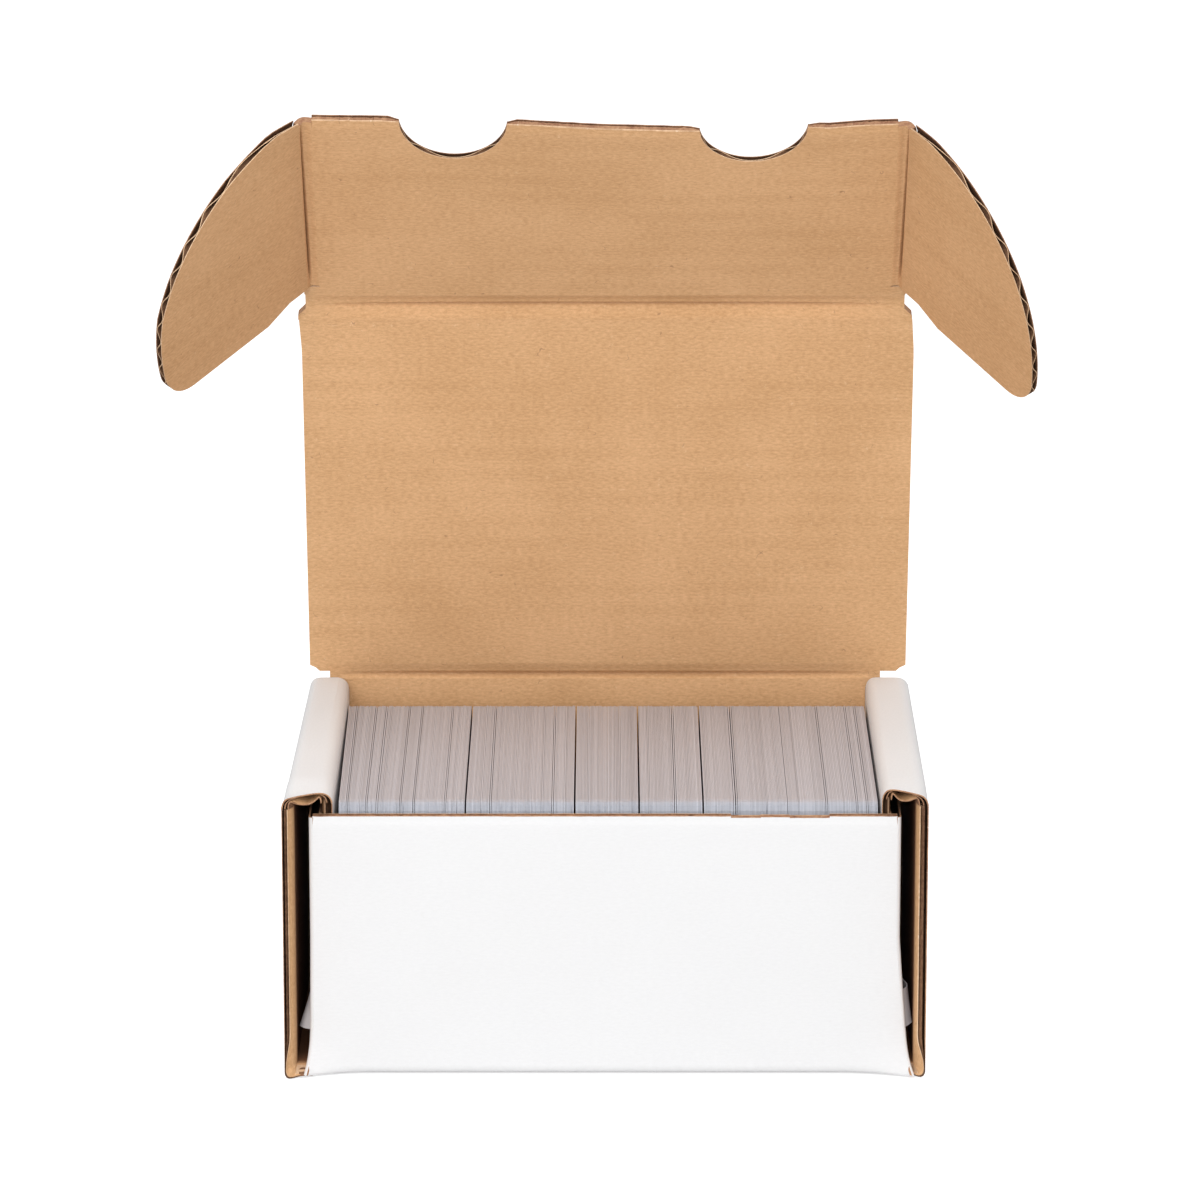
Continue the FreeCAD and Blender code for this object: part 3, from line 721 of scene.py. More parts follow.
for label, side in SIDES.items():
    ends = sorted((side * WALL_FRONT, side * BACK_OUT))
    wall = layers((BOARD - FOLD_RUN - (OUTER_IN - BOTTOM_SIDE), STRIP_UNDER), ends, cell=2.6 * MM,
                  first_crest=side * (WALL_FRONT + 0.27 * WAVE))
    rows(wall, 0, BOARD - FOLD_RUN, BOARD, 8)
    rows(wall, 0, 5 * MM, 11 * MM, 3)
    rows(wall[:1] + wall[2:], 1, side * (WALL_FRONT + 0.6 * MM), side * (WALL_FRONT + 4 * MM), 4)
    for sheet in wall:
        for vertex in sheet.data.vertices:
            foot = near(max(vertex.co.x, BOARD), BOARD, 8 * MM)
            pinch = WALL_PINCH[side] + (FOOT_PINCH - WALL_PINCH[side]) * foot
            vertex.co.z *= 1 - pinch * near(vertex.co.y, side * WALL_FRONT, 3.6 * MM)
            vertex.co.y += side * slant(side, vertex.co.x) * near(vertex.co.y, side * WALL_FRONT, 4 * MM)
    ragged(wall, 1, side * WALL_FRONT, 0.30 * MM, 7.0 + side)
    dress(wall, (0.7 * side, 0.2))
    paint_shade(wall, lambda p: slot_painted_shade(p, side))
    fold(wall, 0, BOARD, -1, 1.8 * MM)
    place = stand((0, 0, 1), (-side, 0, 0), (side * OUTER_FACE, 0, 0))
    finish_piece(join(wall, f"{label}_outer_board"), place, "tray", f"{label}_outer_wall", settle=settle_wall)

# %% Inner walls
BEYOND = 60 * MM
for label, side in SIDES.items():
    inner = layers((0.2 * MM, STRIP_UNDER), (FRONT_IN + 0.2 * MM, BACK_IN - 0.2 * MM), cell=2.6 * MM,
                   first_crest=-side * FRONT_IN)
    for low, high in ((-BEYOND, -TAB_MIDDLE - TAB_HALF), (-TAB_MIDDLE + TAB_HALF, TAB_MIDDLE - TAB_HALF),
                      (TAB_MIDDLE + TAB_HALF, BEYOND)):
        cut_box(inner, (-BOARD, BOARD), (low, high))
    press(inner, 1, -side * FRONT_IN, 4 * MM, 0.3, towards=0.25)
    dress(inner, (0.2, 0.5 * side))
    # painted shade: the inner walls are darkened, as they stand in narrow shaded gaps beside the cards and
    # the slots
    paint_shade(inner, lambda p: 0.55 * (p.z > 0.5 * MM))
    place = stand((0, 0, 1), (side, 0, 0), (side * INNER_FACE, 0, 0))
    whole = join(inner, f"{label}_inner_board")
    finish_piece(whole, place, "tray", f"{label}_inner_wall", settle=settle_wall)

# %% [markdown]
# The corner flaps turn in from the front and the back and are held inside the side walls. From in front
# only the round corner where a flap leaves the front shows, and the top edge behind it, which is painted
# dark as shade. A front flap is cut away below, except right at the corner, which reaches the floor.

# %% Corner flaps
TURNED = 0.63 * FOLD_RUN
CORNERS = {"front": (-1, 44 * MM, 0.5 * MM, FRONT_TOP - 0.15 * MM), "rear": (1, 40 * MM, 3.2 * MM, 68.2 * MM)}
for label, side in SIDES.items():
    for corner, (end, length, foot, top) in CORNERS.items():
        towards = -side * end
        root = towards * BACK_IN
        tip = root - towards * length
        flap = layers(sorted((tip, root + towards * TURNED)), (foot, top), cell=2 * MM)
        if corner == "front":
            cut_box(flap, (root - towards * 0.6 * MM, tip - towards * MM), (-MM, 10.8 * MM))
            ragged(flap, 1, top, 0.3 * MM, 11.0 + side)
        rows(flap, 0, root, root + towards * TURNED, 7)
        dress(flap, (0.3 * end, 0.6 * side))
        if corner == "front":
            # painted shade on the waves and brown liner of a front flap beyond its corner, deep in the slot
            paint_shade(flap[1:], lambda p: 0.95 * ramp(abs(p.x - root), 1 * MM, 2 * MM))
        fold(flap, 0, root, towards, 0.9 * MM)
        place = stand((0, -side, 0), (-side, 0, 0), (side * SLOT_IN, 0, 0))
        whole = join(flap, f"{label}_{corner}_corner_board")
        finish_piece(whole, place, "tray", f"{label}_{corner}_corner_flap",
                     settle=spring if corner == "front" else None)

# %% [markdown]
# Behind each front corner a small tongue of the flap's white liner has come loose and stands out into
# the ear slot. It is a thin sheet pulled outwards at its lower edge, and the right one curls up a little
# there. When the box is closed the ear presses it flat again.

# %% Loose tongues in the ear slots
TONGUE = {-1: (2.45, 0.2, 18.9 * MM), 1: (1.3, 1.9, 20.9 * MM)}
TONGUE_FOOT, TONGUE_FRONT, TONGUE_REAR = 10.9 * MM, FRONT_IN - 1.4 * MM, -38 * MM
TONGUE_THICK, TONGUE_CLEAR, CURL = 0.3 * MM, 0.1 * MM, 9.6 * MM
for label, side in SIDES.items():
    reach, clear, top = TONGUE[side]
    tongue = flat_grid((TONGUE_FRONT, TONGUE_REAR), (TONGUE_FOOT, top), 0, 20, 12)

    def pull(point):
        """Stand the sheet up on the flap and pull its lower front part into the slot."""
        share = 1 - ramp(point.y, TONGUE_FOOT, top)
        along = ramp(point.x, TONGUE_FRONT, TONGUE_FRONT + 2.2 * MM) ** 0.5
        out = (clear + reach * share ** 1.1) * along * (1 - ramp(point.x, TONGUE_REAR - 8 * MM, TONGUE_REAR))
        curl = CURL * (side > 0) * max(0, share - 0.9) * out / (clear + reach)
        return Vector((side * (SLOT_IN + TONGUE_CLEAR + out * MM), point.x, point.y + curl))

    reshape(tongue, pull)
    apply_modifier(tongue, "SOLIDIFY", thickness=TONGUE_THICK, offset=0)
    face_outwards(tongue)
    dress([tongue], (0.11, 0.17), rule=lambda number, up: WHITE)
    # painted shade: the tongue is darkened to the grey of the shade in the ear slot
    paint_shade([tongue], lambda p: 0.62)
    only(tongue)
    tongue.name = tongue.data.name = f"{label}_loose_tongue"
    finish_piece(tongue, Matrix(), "tray")
    root = (side * (SLOT_IN + TONGUE_CLEAR), 0, 0)
    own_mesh(tongue)

# %% [markdown]
# The strip over a side wall is board that has been creased twice, close together, and rolled over. Its
# white liner stays taut. Its brown liner has nowhere to go and buckles into a trough, which shows at the
# front end, and shreds of the medium line the two rounded shoulders. Each of them is a profile across
# the wall, drawn as a few points, smoothed by a subdivision, run from front to back and given a
# thickness.


# %% Profiles along the top of a wall
STRIP_REAR = 48.05 * MM
STRIP_CELLS = 26


def strip_front(x):
    """Where the strip ends in front, cut on a slant across the ear slot."""
    return FRONT_OUT + (WALL_FRONT - FRONT_OUT) * ramp(x, 69.5 * MM, 74.5 * MM)


def profile_sheet(points, side, thickness, back_by=0.0):
    """A thin sheet with this profile across the wall, in millimetres, run along the wall."""
    sheet = flat_grid((0, 1), (0, 1), 0, len(points) - 1, STRIP_CELLS)

    def lay(point):
        x, z = (length * MM for length in points[round(point.x * (len(points) - 1))])
        start = strip_front(x) + back_by * MM
        y = start + (STRIP_REAR - start) * point.y ** 1.6
        pinch = WALL_PINCH[side] * near(y, WALL_FRONT, 4.5 * MM) if x > SLOT_IN else 0
        x = OUTER_FACE - (OUTER_FACE - x) * (1 - pinch)
        return Vector((side * x, y, z))

    reshape(sheet, lay)
    apply_modifier(sheet, "SUBSURF", levels=1, render_levels=1)
    only(sheet)
    sheet.data.materials.clear()
    apply_modifier(sheet, "SOLIDIFY", thickness=thickness * MM, offset=0)
    face_outwards(sheet)
    return sheet


print("the strips run from", FRONT_OUT / MM, "to", STRIP_REAR / MM, "mm")

# %% Roll strips
SHOULDER = [(math.cos(math.radians(a)), math.sin(math.radians(a))) for a in (0, 18, 36, 54, 72, 90)]
INNER_MM, OUTER_MM, UNDER_MM, BOARD_MM = INNER_BACK / MM, OUTER_IN / MM, STRIP_UNDER / MM, BOARD / MM
SKIN = 0.34
skin_radius = BOARD_MM - SKIN / 2
skin_points = [(OUTER_MM + skin_radius * c, UNDER_MM + skin_radius * s) for c, s in SHOULDER]
skin_points += [(OUTER_MM - step, UNDER_MM + skin_radius) for step in (1.6, 3.1, 4.7)]
skin_points += [(INNER_MM - skin_radius * c, UNDER_MM + skin_radius * s) for c, s in reversed(SHOULDER)]
TROUGH = [(73.95, 68.5), (73.95, 69.6), (73.5, 70.5), (72.6, 69.8), (71.6, 69.0), (70.5, 68.7), (69.4, 69.0),
          (68.4, 69.9), (67.9, 70.4), (67.6, 69.6), (67.55, 68.5)]
OUTER_SHRED = [(75.35, 68.5), (75.2, 69.5), (74.6, 70.3), (73.6, 70.75), (72.4, 70.85)]
INNER_SHRED = [(66.15, 68.5), (66.3, 69.6), (66.9, 70.4), (67.9, 70.8)]
ROLL_MIDDLE = (OUTER_IN + INNER_BACK) / 2


def strip_paper(number, side, face):
    """White outside on the skin, brown on the trough, torn on every front rim, painted shade elsewhere."""
    if abs(face.normal.y) > 0.6:
        return TORN
    outward = (face.center.x - side * ROLL_MIDDLE) * face.normal.x
    outward += 2 * (face.center.z - STRIP_UNDER) * face.normal.z
    if outward < 0 or number > 1:
        return INSIDE_SHADE
    return KRAFT if number else WHITE


for label, side in SIDES.items():
    strip = [profile_sheet(skin_points, side, SKIN), profile_sheet(TROUGH, side, 0.28, 0.35),
             profile_sheet(OUTER_SHRED, side, 0.24, 0.5), profile_sheet(INNER_SHRED, side, 0.24, 0.6)]
    dress(strip, (side, 0.0))
    for number, sheet in enumerate(strip):
        for face in sheet.data.polygons:
            face.material_index = strip_paper(number, side, face)
        uv = sheet.data.uv_layers["board"]
        for loop in sheet.data.loops:
            point = sheet.data.vertices[loop.vertex_index].co
            uv.data[loop.index].uv = (point.y + side, point.x - side * point.z)

    finish_piece(join(strip, f"{label}_roll"), Matrix(), "tray", f"{label}_roll_strip", settle=settle_wall)

# %% [markdown]
# The lid is one large flat panel. Seen from in front it shows its brown face, and its sides are cut
# across the waves. It ends a little short of each crease line, where a strip of its own takes over, and
# its two rear corners, beside the rear strip, are clipped so that they clear the walls. The lid sits a
# little to the right of its own front crease, so the finished panel is shifted, and the room for the rear
# strip is cut off centre to come out centred. The lid, the tuck flap and the ears each stand on their own
# hinge, whose axis runs in the middle of the board.


# %% Wedges that clip a corner
SAME, SPARE = 0.01 * MM, 0.5 * MM


def corner_clip(corner, run, rise):
    """A wedge that clips a corner of a flat panel: a box with its inner edge moved out to the slope.

    Places nearer than SAME are the same place, and the wedge stands SPARE out past the panel.
    """
    u, v = corner
    low = (min(u, u - run), min(v, v + rise), -BOARD)
    high = (max(u, u - run), max(v, v + rise), 2 * BOARD)
    wedge = box_cutter(low, high)
    inside = Vector((u - run, v + rise))
    for vertex in wedge.data.vertices:
        if (Vector(vertex.co.xy) - inside).length < SAME:
            vertex.co.x, vertex.co.y = u - run / 2, v + rise / 2
        if abs(vertex.co.x - u) < SAME:
            vertex.co.x += math.copysign(SPARE, run)
        if abs(vertex.co.y - v) < SAME:
            vertex.co.y -= math.copysign(SPARE, rise)
    return wedge


# %% Lid
LID_HALF = 75.3 * MM
LID_STOP = LID_REACH - 5.6 * MM
REAR_HALF, ASIDE = 69.6 * MM, 0.7 * MM
CLIP_IN, CLIP_UP = 2.9 * MM, 2.0 * MM
ON_HINGE = stand((1, 0, 0), (0, -1, 0), (0, BOARD / 2, 0))


def shift_lid(point):
    """The lid sits a little to the right of its own front crease."""
    up = (lid_frame.inverted() @ point).z
    point.x += ASIDE * ramp(LID_REACH - up, 3 * MM, 14 * MM)
    return point


lid = layers((-LID_HALF, LID_HALF), (0, LID_STOP), cell=2.5 * MM, first_crest=LID_STOP)
cut_box(lid, (-REAR_HALF - ASIDE, REAR_HALF - ASIDE), (-MM, CREASE_HALF))
for side in SIDES.values():
    cut(lid, corner_clip((side * LID_HALF, 0), side * CLIP_IN, CLIP_UP))
dress(lid, (0.9, 0.3))
lid_board = join(lid, "lid_board")
finish_piece(lid_board, lid_frame @ ON_HINGE, "lid", "lid", settle=shift_lid)

# %% [markdown]
# The tuck flap hangs on the front crease of the lid. Two half-round notches in its free edge give the
# thumbs a hold. They are cut with cylinders through all the layers, so the waves show in them. The free
# edge has sunk, most to the right of the middle, and the right notch has moved inwards. The worn edge is
# given as a few places along it and how far each has sunk, in millimetres, with straight stretches
# between them.

# %% Wear of the tuck flap
FREE_EDGE = ((-80, 0.2), (-75, 0.35), (-54, 0.7), (-25, 1.6), (-16, 2.3), (-1, 3.5), (21, 4.2), (28, 3.2),
             (48, 2.4), (53, 3.2), (62, 2.1), (72, 1.7), (85, 0.9), (130, 0.4))
NOTCH_ASIDE = 1.5 * MM


def sink(point):
    """Let the free edge sink, most to the right of the middle, and move the right notch inwards."""
    local = flap_frame.inverted() @ point
    across = local.x / MM
    for (x0, d0), (x1, d1) in zip(FREE_EDGE, FREE_EDGE[1:]):
        if x0 <= across <= x1:
            drop = (d0 + (d1 - d0) * (across - x0) / (x1 - x0)) * MM
            share = max(0, local.z / FLAP_LENGTH) ** 2
            local.z -= drop * share
            local.x -= NOTCH_ASIDE * near(across, 36, 26) * share
            break
    return flap_frame @ local


print("the free edge has sunk by up to", max(drop for _, drop in FREE_EDGE), "mm")

# %% Tuck flap
FLAP_SIDE = EAR_AXIS - CREASE_HALF
FLAP_SHOULDER, SHOULDER_DROP = 73.6 * MM, 5.1 * MM
NOTCH, NOTCH_DEEP, NOTCH_ACROSS = 12.9 * MM, 12 * MM, 36.2 * MM
NOTCH_CENTRE = FLAP_LENGTH - NOTCH_DEEP + NOTCH
flap = layers((-FLAP_SHOULDER, FLAP_SHOULDER), (CREASE_HALF, FLAP_LENGTH), cell=2.2 * MM)
flap.append(torn_core((-FLAP_SIDE, FLAP_SIDE), (FLAP_LENGTH - 2.2 * MM, FLAP_LENGTH - 0.2 * MM), seed=9.0))
for side in SIDES.values():
    cut_box(flap, (side * FLAP_SIDE, side * (FLAP_SHOULDER + BOARD)), (SHOULDER_DROP, FLAP_LENGTH + BOARD))
    cut(flap, round_cutter(side * NOTCH_ACROSS, NOTCH_CENTRE, NOTCH, 96))
rows(flap[:1] + flap[2:3], 1, FLAP_LENGTH - 2.4 * MM, FLAP_LENGTH - 0.6 * MM, 3)
press(flap, 1, FLAP_LENGTH, 2.6 * MM, 0.30)
for sheet in flap:
    for vertex in sheet.data.vertices:
        from_centre = math.hypot(abs(vertex.co.x) - NOTCH_ACROSS, vertex.co.y - NOTCH_CENTRE)
        vertex.co.z = BOARD + (vertex.co.z - BOARD) * (1 - 0.4 * near(from_centre, NOTCH, 2.5 * MM))
ragged(flap, 1, FLAP_LENGTH, 0.22 * MM, 6.0)
dress(flap, (0.15, 0.7))
# painted shade: the tuck flap is a little darker than the lid, as it faces further down, away from the light
paint_shade(flap, lambda p: 0.06)
flap_board = join(flap, "tuck_flap_board")
finish_piece(flap_board, flap_frame @ ON_HINGE, "tuck_flap", "tuck_flap", settle=sink)

# %% [markdown]
# Each ear is a quarter of a large round with a small round tip. Its waves run outwards from its crease,
# so the long curved edge crosses them at every angle and shows them as a wavy line, while the straight
# lower edge runs along them and looks closed. The outline is a box that meets a cylinder, less a sloping
# step beside the crease. Both ears have spread a little beyond their outline, the left one more.


# %% Round some edges
def bevel_edges(thing, chosen, offset, segments):
    """Round the edges that a rule chooses by the places of their two ends."""
    only(thing)
    bpy.ops.object.mode_set(mode="EDIT")
    bpy.ops.mesh.select_mode(type="EDGE")
    bpy.ops.mesh.select_all(action="DESELECT")
    bpy.ops.object.mode_set(mode="OBJECT")
    for edge in thing.data.edges:
        edge.select = chosen(*(thing.data.vertices[i].co for i in edge.vertices))
    bpy.ops.object.mode_set(mode="EDIT")
    bpy.ops.mesh.bevel(offset=offset, segments=segments, affect="EDGES")
    bpy.ops.object.mode_set(mode="OBJECT")


print("the next cells round the tip of an ear, and later the corners of a card")

# %% Outline of an ear
EAR_REACH, EAR_DROP, EAR_TIP = 50.3 * MM, 3.0 * MM, 8.6 * MM
EAR_ROUND, EAR_OFF, EAR_CENTRE = 50.8 * MM, 0.5 * MM, EAR_DROP + EAR_TIP
STEP_START, STEP_STOP, STEP_HEIGHT = 8.5 * MM, 25.4 * MM, 5.4 * MM


def ear_cutter(side):
    """The outline of an ear as a solid: a box with one rounded corner, inside a large cylinder."""

    def at_tip(*ends):
        """Whether an edge stands at the outer lower corner of the box."""
        return all(abs(p.x - side * EAR_REACH) < SAME and abs(p.y - EAR_DROP) < SAME for p in ends)

    u = sorted((side * 1.9 * MM, side * EAR_REACH))
    blank = box_cutter((u[0], EAR_DROP, -BOARD), (u[1], FLAP_LENGTH, 2 * BOARD))
    bevel_edges(blank, at_tip, EAR_TIP, 12)
    face_outwards(blank)
    cut([blank], round_cutter(-side * EAR_OFF, EAR_CENTRE, EAR_ROUND, 220), "INTERSECT")
    root = sorted((0, side * STEP_STOP))
    step = box_cutter((root[0], 0, -2 * BOARD), (root[1], STEP_HEIGHT, 3 * BOARD))
    for vertex in step.data.vertices:
        if abs(vertex.co.x - side * STEP_STOP) < SAME and vertex.co.y > MM:
            vertex.co.x = side * STEP_START
    cut([blank], step)
    return blank


# %% Ears
GROWN = {-1: (3.7 * MM, 2.4 * MM), 1: (0.4 * MM, 1.4 * MM)}
for label, side in SIDES.items():
    out, up = GROWN[side]
    u = sorted((side * CREASE_HALF, side * 51 * MM))
    ear = layers(u, (2.8 * MM, FLAP_LENGTH), cell=2.0 * MM)
    cut(ear, ear_cutter(side), "INTERSECT")
    for sheet in ear:
        for vertex in sheet.data.vertices:
            point = vertex.co
            from_centre = math.hypot(point.x + side * EAR_OFF, max(0, point.y - EAR_CENTRE))
            point.z = BOARD + (point.z - BOARD) * (1 - 0.34 * near(from_centre, EAR_ROUND, 3.5 * MM))
            point.x += side * out * ramp(point.y, 8 * MM, 30 * MM) * ramp(abs(point.x), 4 * MM, 22 * MM)
            point.y += up * ramp(point.y, 12 * MM, 40 * MM) * ramp(abs(point.x), 1 * MM, 10 * MM)
    dress(ear, (0.55 * side, 0.9))
    # painted shade: the ears are a little darker, most next to their crease
    paint_shade(ear, lambda p: 0.07 + 0.07 * near(abs(p.x), CREASE_HALF, 6 * MM))
    whole = join(ear, f"{label}_ear_board")
    finish_piece(whole, ear_frame[side] @ ON_HINGE, f"{label}_ear", f"{label}_ear",
                 settle=sink)

# %% [markdown]
# Along a crease the sheet goes on: the die has pressed it in from the brown side, and the white liner
# bends round the outside. Each crease that moves is a strip of its own. It is drawn flat across the
# fold, as thick at its two sides as the panels that it meets, with a groove in its brown face, then
# turned to the fold at which the box stands, bending gradually from one side to the other.


# %% Living creases
CREASE_CELLS = 28


def crease_strip(name, axis, across, run, angle, valley, groove, width, valley_shade,
                 sign=1, share_wide=0.4, pinch=0):
    """A strip over a crease, from one side to the other on the axis. valley says where its valley runs, and
    its line is darkened with painted shade.
    """
    u, v = (across, run) if axis == 0 else (run, across)
    long_cells = max(8, round((run[1] - run[0]) / (2 * MM)))
    if sign < 0:
        u = (-u[1], -u[0])
    cells = (CREASE_CELLS, long_cells) if axis == 0 else (long_cells, CREASE_CELLS)
    strip = flat_grid(u, v, BOARD / 2, *cells)
    apply_modifier(strip, "SOLIDIFY", thickness=BOARD, offset=0)
    dress([strip], (0.37, 0.21), rule=lambda number, up: WHITE if up < -0.5 else KRAFT if up > 0.5 else TORN)

    def depth_at(point):
        """A narrow valley in a wide shallow dip, fading out at the two ends of the crease."""
        place, share = sign * point[axis], (point[1 - axis] - run[0]) / (run[1] - run[0])
        centre = valley(share)
        side = across[0] if place < centre else across[1]
        dip = near(place, centre, abs(side - centre))
        ends = max(0, 1 - (2 * share - 1) ** 6)
        line = near(place, centre, width)
        return ends * (share_wide * dip + (1 - share_wide) * line), ends * line

    # painted shade along the valley line of the crease
    paint_shade([strip], lambda p: valley_shade * depth_at(p)[1] ** 1.5 if p.z > BOARD / 2 else 0)

    def hollow(point):
        """Press the groove into the brown face, and pinch the white face at the free end of the crease."""
        if point.z > BOARD / 2:
            point.z -= groove * depth_at(point)[0]
        else:
            point.z += pinch * BOARD * near(point[1 - axis], run[1], 5 * MM)
        return point

    def turn(point):
        """Bend the flat strip gradually, up to the fold at which the box stands."""
        share = ramp(sign * point[axis], -CREASE_HALF, CREASE_HALF)
        a = angle * share * share * (3 - 2 * share)
        depth, flat = point.z - BOARD / 2, sign * point[axis]
        point[axis] = sign * (flat * math.cos(a) - depth * math.sin(a))
        point.z = BOARD / 2 + flat * math.sin(a) + depth * math.cos(a)
        return point

    reshape(strip, hollow)
    reshape(strip, turn)
    strip.name = strip.data.name = name
    return strip


def blend_over(strip, base, settle=None):
    """Stand a crease strip in its place."""
    finish_piece(strip, base, settle=settle)
    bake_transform(strip)


# %% Creases of the lid
NARROWER = 1.9 * MM
rear_base = Matrix.Translation(LID_AXIS)
rear = crease_strip("lid_crease", 1, (-CREASE_HALF, CREASE_HALF), (-REAR_HALF, REAR_HALF), LID_LEAN,
                    valley=lambda share: -1.2 * MM, groove=1.0 * MM, width=1.1 * MM, valley_shade=0.36)
blend_over(rear, rear_base @ ON_HINGE)
fold_base = lid_frame @ Matrix.Translation((0, 0, LID_REACH))
front_crease = crease_strip("tuck_flap_crease", 1, (LID_STOP - LID_REACH, CREASE_HALF), (-LID_HALF, LID_HALF),
                            FLAP_FOLD, valley=lambda share: -1.7 * MM, groove=1.8 * MM, width=0.6 * MM,
                            valley_shade=0.45, share_wide=0.7)


def round_off(point):
    """The lid narrows to the width of the flap just under the crease."""
    point.x *= 1 - NARROWER / LID_HALF * ramp(point.y, -4.4 * MM, -2.4 * MM)
    return point


reshape(front_crease, round_off)
blend_over(front_crease, fold_base @ ON_HINGE)

# %% Creases of the ears
EAR_CREASE = (5.5 * MM, FLAP_LENGTH - 0.3 * MM)
for label, side in SIDES.items():
    hinge = ear_hinge[side]
    strip = crease_strip(f"{label}_ear_crease", 0, (-CREASE_HALF, CREASE_HALF), EAR_CREASE, EAR_FOLD[side],
                         valley=lambda share: (0.3 + share) * MM, groove=1.7 * MM, width=0.7 * MM, valley_shade=0.9,
                         sign=side, share_wide=0.25, pinch=0.4)
    # painted shade: the ear creases are a little darker, like the flap
    paint_shade([strip], lambda p: 0.06)
    blend_over(strip, hinge @ ON_HINGE,
               settle=sink)

# %% [markdown]
# The cards stand on their long edges. What shows is a few hundred thin edges, each a slightly different
# grey, with painted shade that makes the fronts darker and bluer than the tops, and the light catching the
# rounded corners. One card is modelled as a box with rounded corners, and copied once for every card,
# with a little freedom in height, depth and lean. A dark line shows wherever two cards stand a hair apart.

# %% Card stock
CARD_LENGTH, CARD_HEIGHT, CARD_THICK = 88.9 * MM, 63.5 * MM, 0.31 * MM
CARD_ROUND, CARD_PITCH = 3.175 * MM, 0.345 * MM
CARD_FRONT = FRONT_IN + 2.2 * MM
card_stock = bpy.data.materials.new("card_edges")
card_stock.use_nodes = True
tree = card_stock.node_tree
card_shader = tree.nodes["Principled BSDF"]
tone = tree.nodes.new("ShaderNodeAttribute")
tone.attribute_name = "card_tone"
place = tree.nodes.new("ShaderNodeTexCoord")
dust = cloud(tree, spread(tree, place.outputs["Object"], (5000, 150, 150)), 1.0, 3, 0.6)
dusty = math_node(tree, "MULTIPLY_ADD", dust, 0.5, -0.25)
tint = math_node(tree, "ADD", tone.outputs["Fac"], dusty, clamp=True)
parts = tree.nodes.new("ShaderNodeSeparateXYZ")
tree.links.new(place.outputs["Object"], parts.inputs[0])
from_front = math_node(tree, "SUBTRACT", parts.outputs["Y"], CARD_FRONT)
# painted shade: the fronts of the card edges are coloured darker and bluer than the tops
front_shade_mask = between(tree, from_front, 3 * MM, 0.8 * MM)
top_edge = mix_colour(tree, tint, (0.35, 0.335, 0.355), (0.60, 0.585, 0.625))
shaded_front_edge = mix_colour(tree, tint, (0.28, 0.295, 0.335), (0.49, 0.51, 0.575))
card_colour = mix_colour(tree, front_shade_mask, top_edge, shaded_front_edge)
tree.links.new(card_colour, card_shader.inputs["Base Color"])
tree.links.new(math_node(tree, "MULTIPLY_ADD", dust, 0.2, 0.4), card_shader.inputs["Roughness"])
card_bump = tree.nodes.new("ShaderNodeBump")
card_bump.inputs["Strength"].default_value = 0.3
card_bump.inputs["Distance"].default_value = 0.1 * MM
tree.links.new(dust, card_bump.inputs["Height"])
tree.links.new(card_bump.outputs["Normal"], card_shader.inputs["Normal"])
print("material:", card_stock.name)

# %% One card
card = box_cutter((-CARD_THICK / 2, CARD_FRONT, BOARD),
                  (CARD_THICK / 2, CARD_FRONT + CARD_LENGTH, BOARD + CARD_HEIGHT))
card.name = "card"
card.data.uv_layers.remove(card.data.uv_layers[0])  # nothing reads it, and a bevel changes its last digit
bevel_edges(card, lambda a, b: abs(a.x - b.x) > 0.5 * CARD_THICK, CARD_ROUND, 4)
bpy.ops.object.mode_set(mode="EDIT")
for share in (0.25, 0.5, 0.75):
    bpy.ops.mesh.select_all(action="SELECT")
    bpy.ops.mesh.bisect(plane_co=(0, CARD_FRONT + share * CARD_LENGTH, 0), plane_no=(0, 1, 0))
bpy.ops.object.mode_set(mode="OBJECT")
card.data.materials.append(card_stock)
card.data.attributes.new("card_tone", "FLOAT", "POINT")
print("one card:", len(card.data.polygons), "faces")

# %% [markdown]
# The packs are filled from left to right. In a few places two cards stand further apart, and the first
# and the last cards have fanned out towards the side walls. A card's lean is given in millimetres in
# front and at the back, for the first and for the last card of its pack. Where a pack fans out wider than
# its place, its cards are drawn a little thicker, so that no gaps open between them. The fifth pack takes
# up slightly more room than its solid.

# %% Room for each card
chance = random.Random(11)
PARTED = (-61.4, -56.9, -54.5, -48.9, -45.7, -38.2, -27.5, -12.4, 16.8, 31.2, 52.3, 58.8, 60.9)
PARTED_REACH = 0.18 * MM


def card_steps(low, high, count):
    """How much room each card of a pack takes up, more where two cards have parted."""
    shares = []
    for index in range(count):
        middle = low + (high - low) * (index + 0.5) / count
        parted = any(abs(middle - gap * MM) < PARTED_REACH for gap in PARTED)
        shares.append(1 + 0.6 * parted + (chance.random() < 0.08) * chance.uniform(0.05, 0.2))
    unit = (high - low) / sum(shares)
    return [share * unit for share in shares]


print("places where cards have parted:", len(PARTED))


# %% One copy of the card
def place_card(middle, lean_front, lean_back, swell):
    """A copy of the card at its place in a pack, with its own height, depth and tone."""
    one = card.copy()
    one.data = card.data.copy()
    bpy.context.collection.objects.link(one)
    drop, slide = abs(chance.gauss(0, 0.06)) * MM, chance.gauss(0, 0.16) * MM
    tone_here = min(max(chance.gauss(0.6, 0.11), 0.05), 1)
    for vertex in one.data.vertices:
        along = (vertex.co.y - CARD_FRONT) / CARD_LENGTH
        vertex.co.x = swell * vertex.co.x + middle + lean_front + (lean_back - lean_front) * along
        vertex.co.y += slide
        if vertex.co.z > 20 * MM:
            vertex.co.z -= drop
    for value in one.data.attributes["card_tone"].data:
        value.value = tone_here
    return one


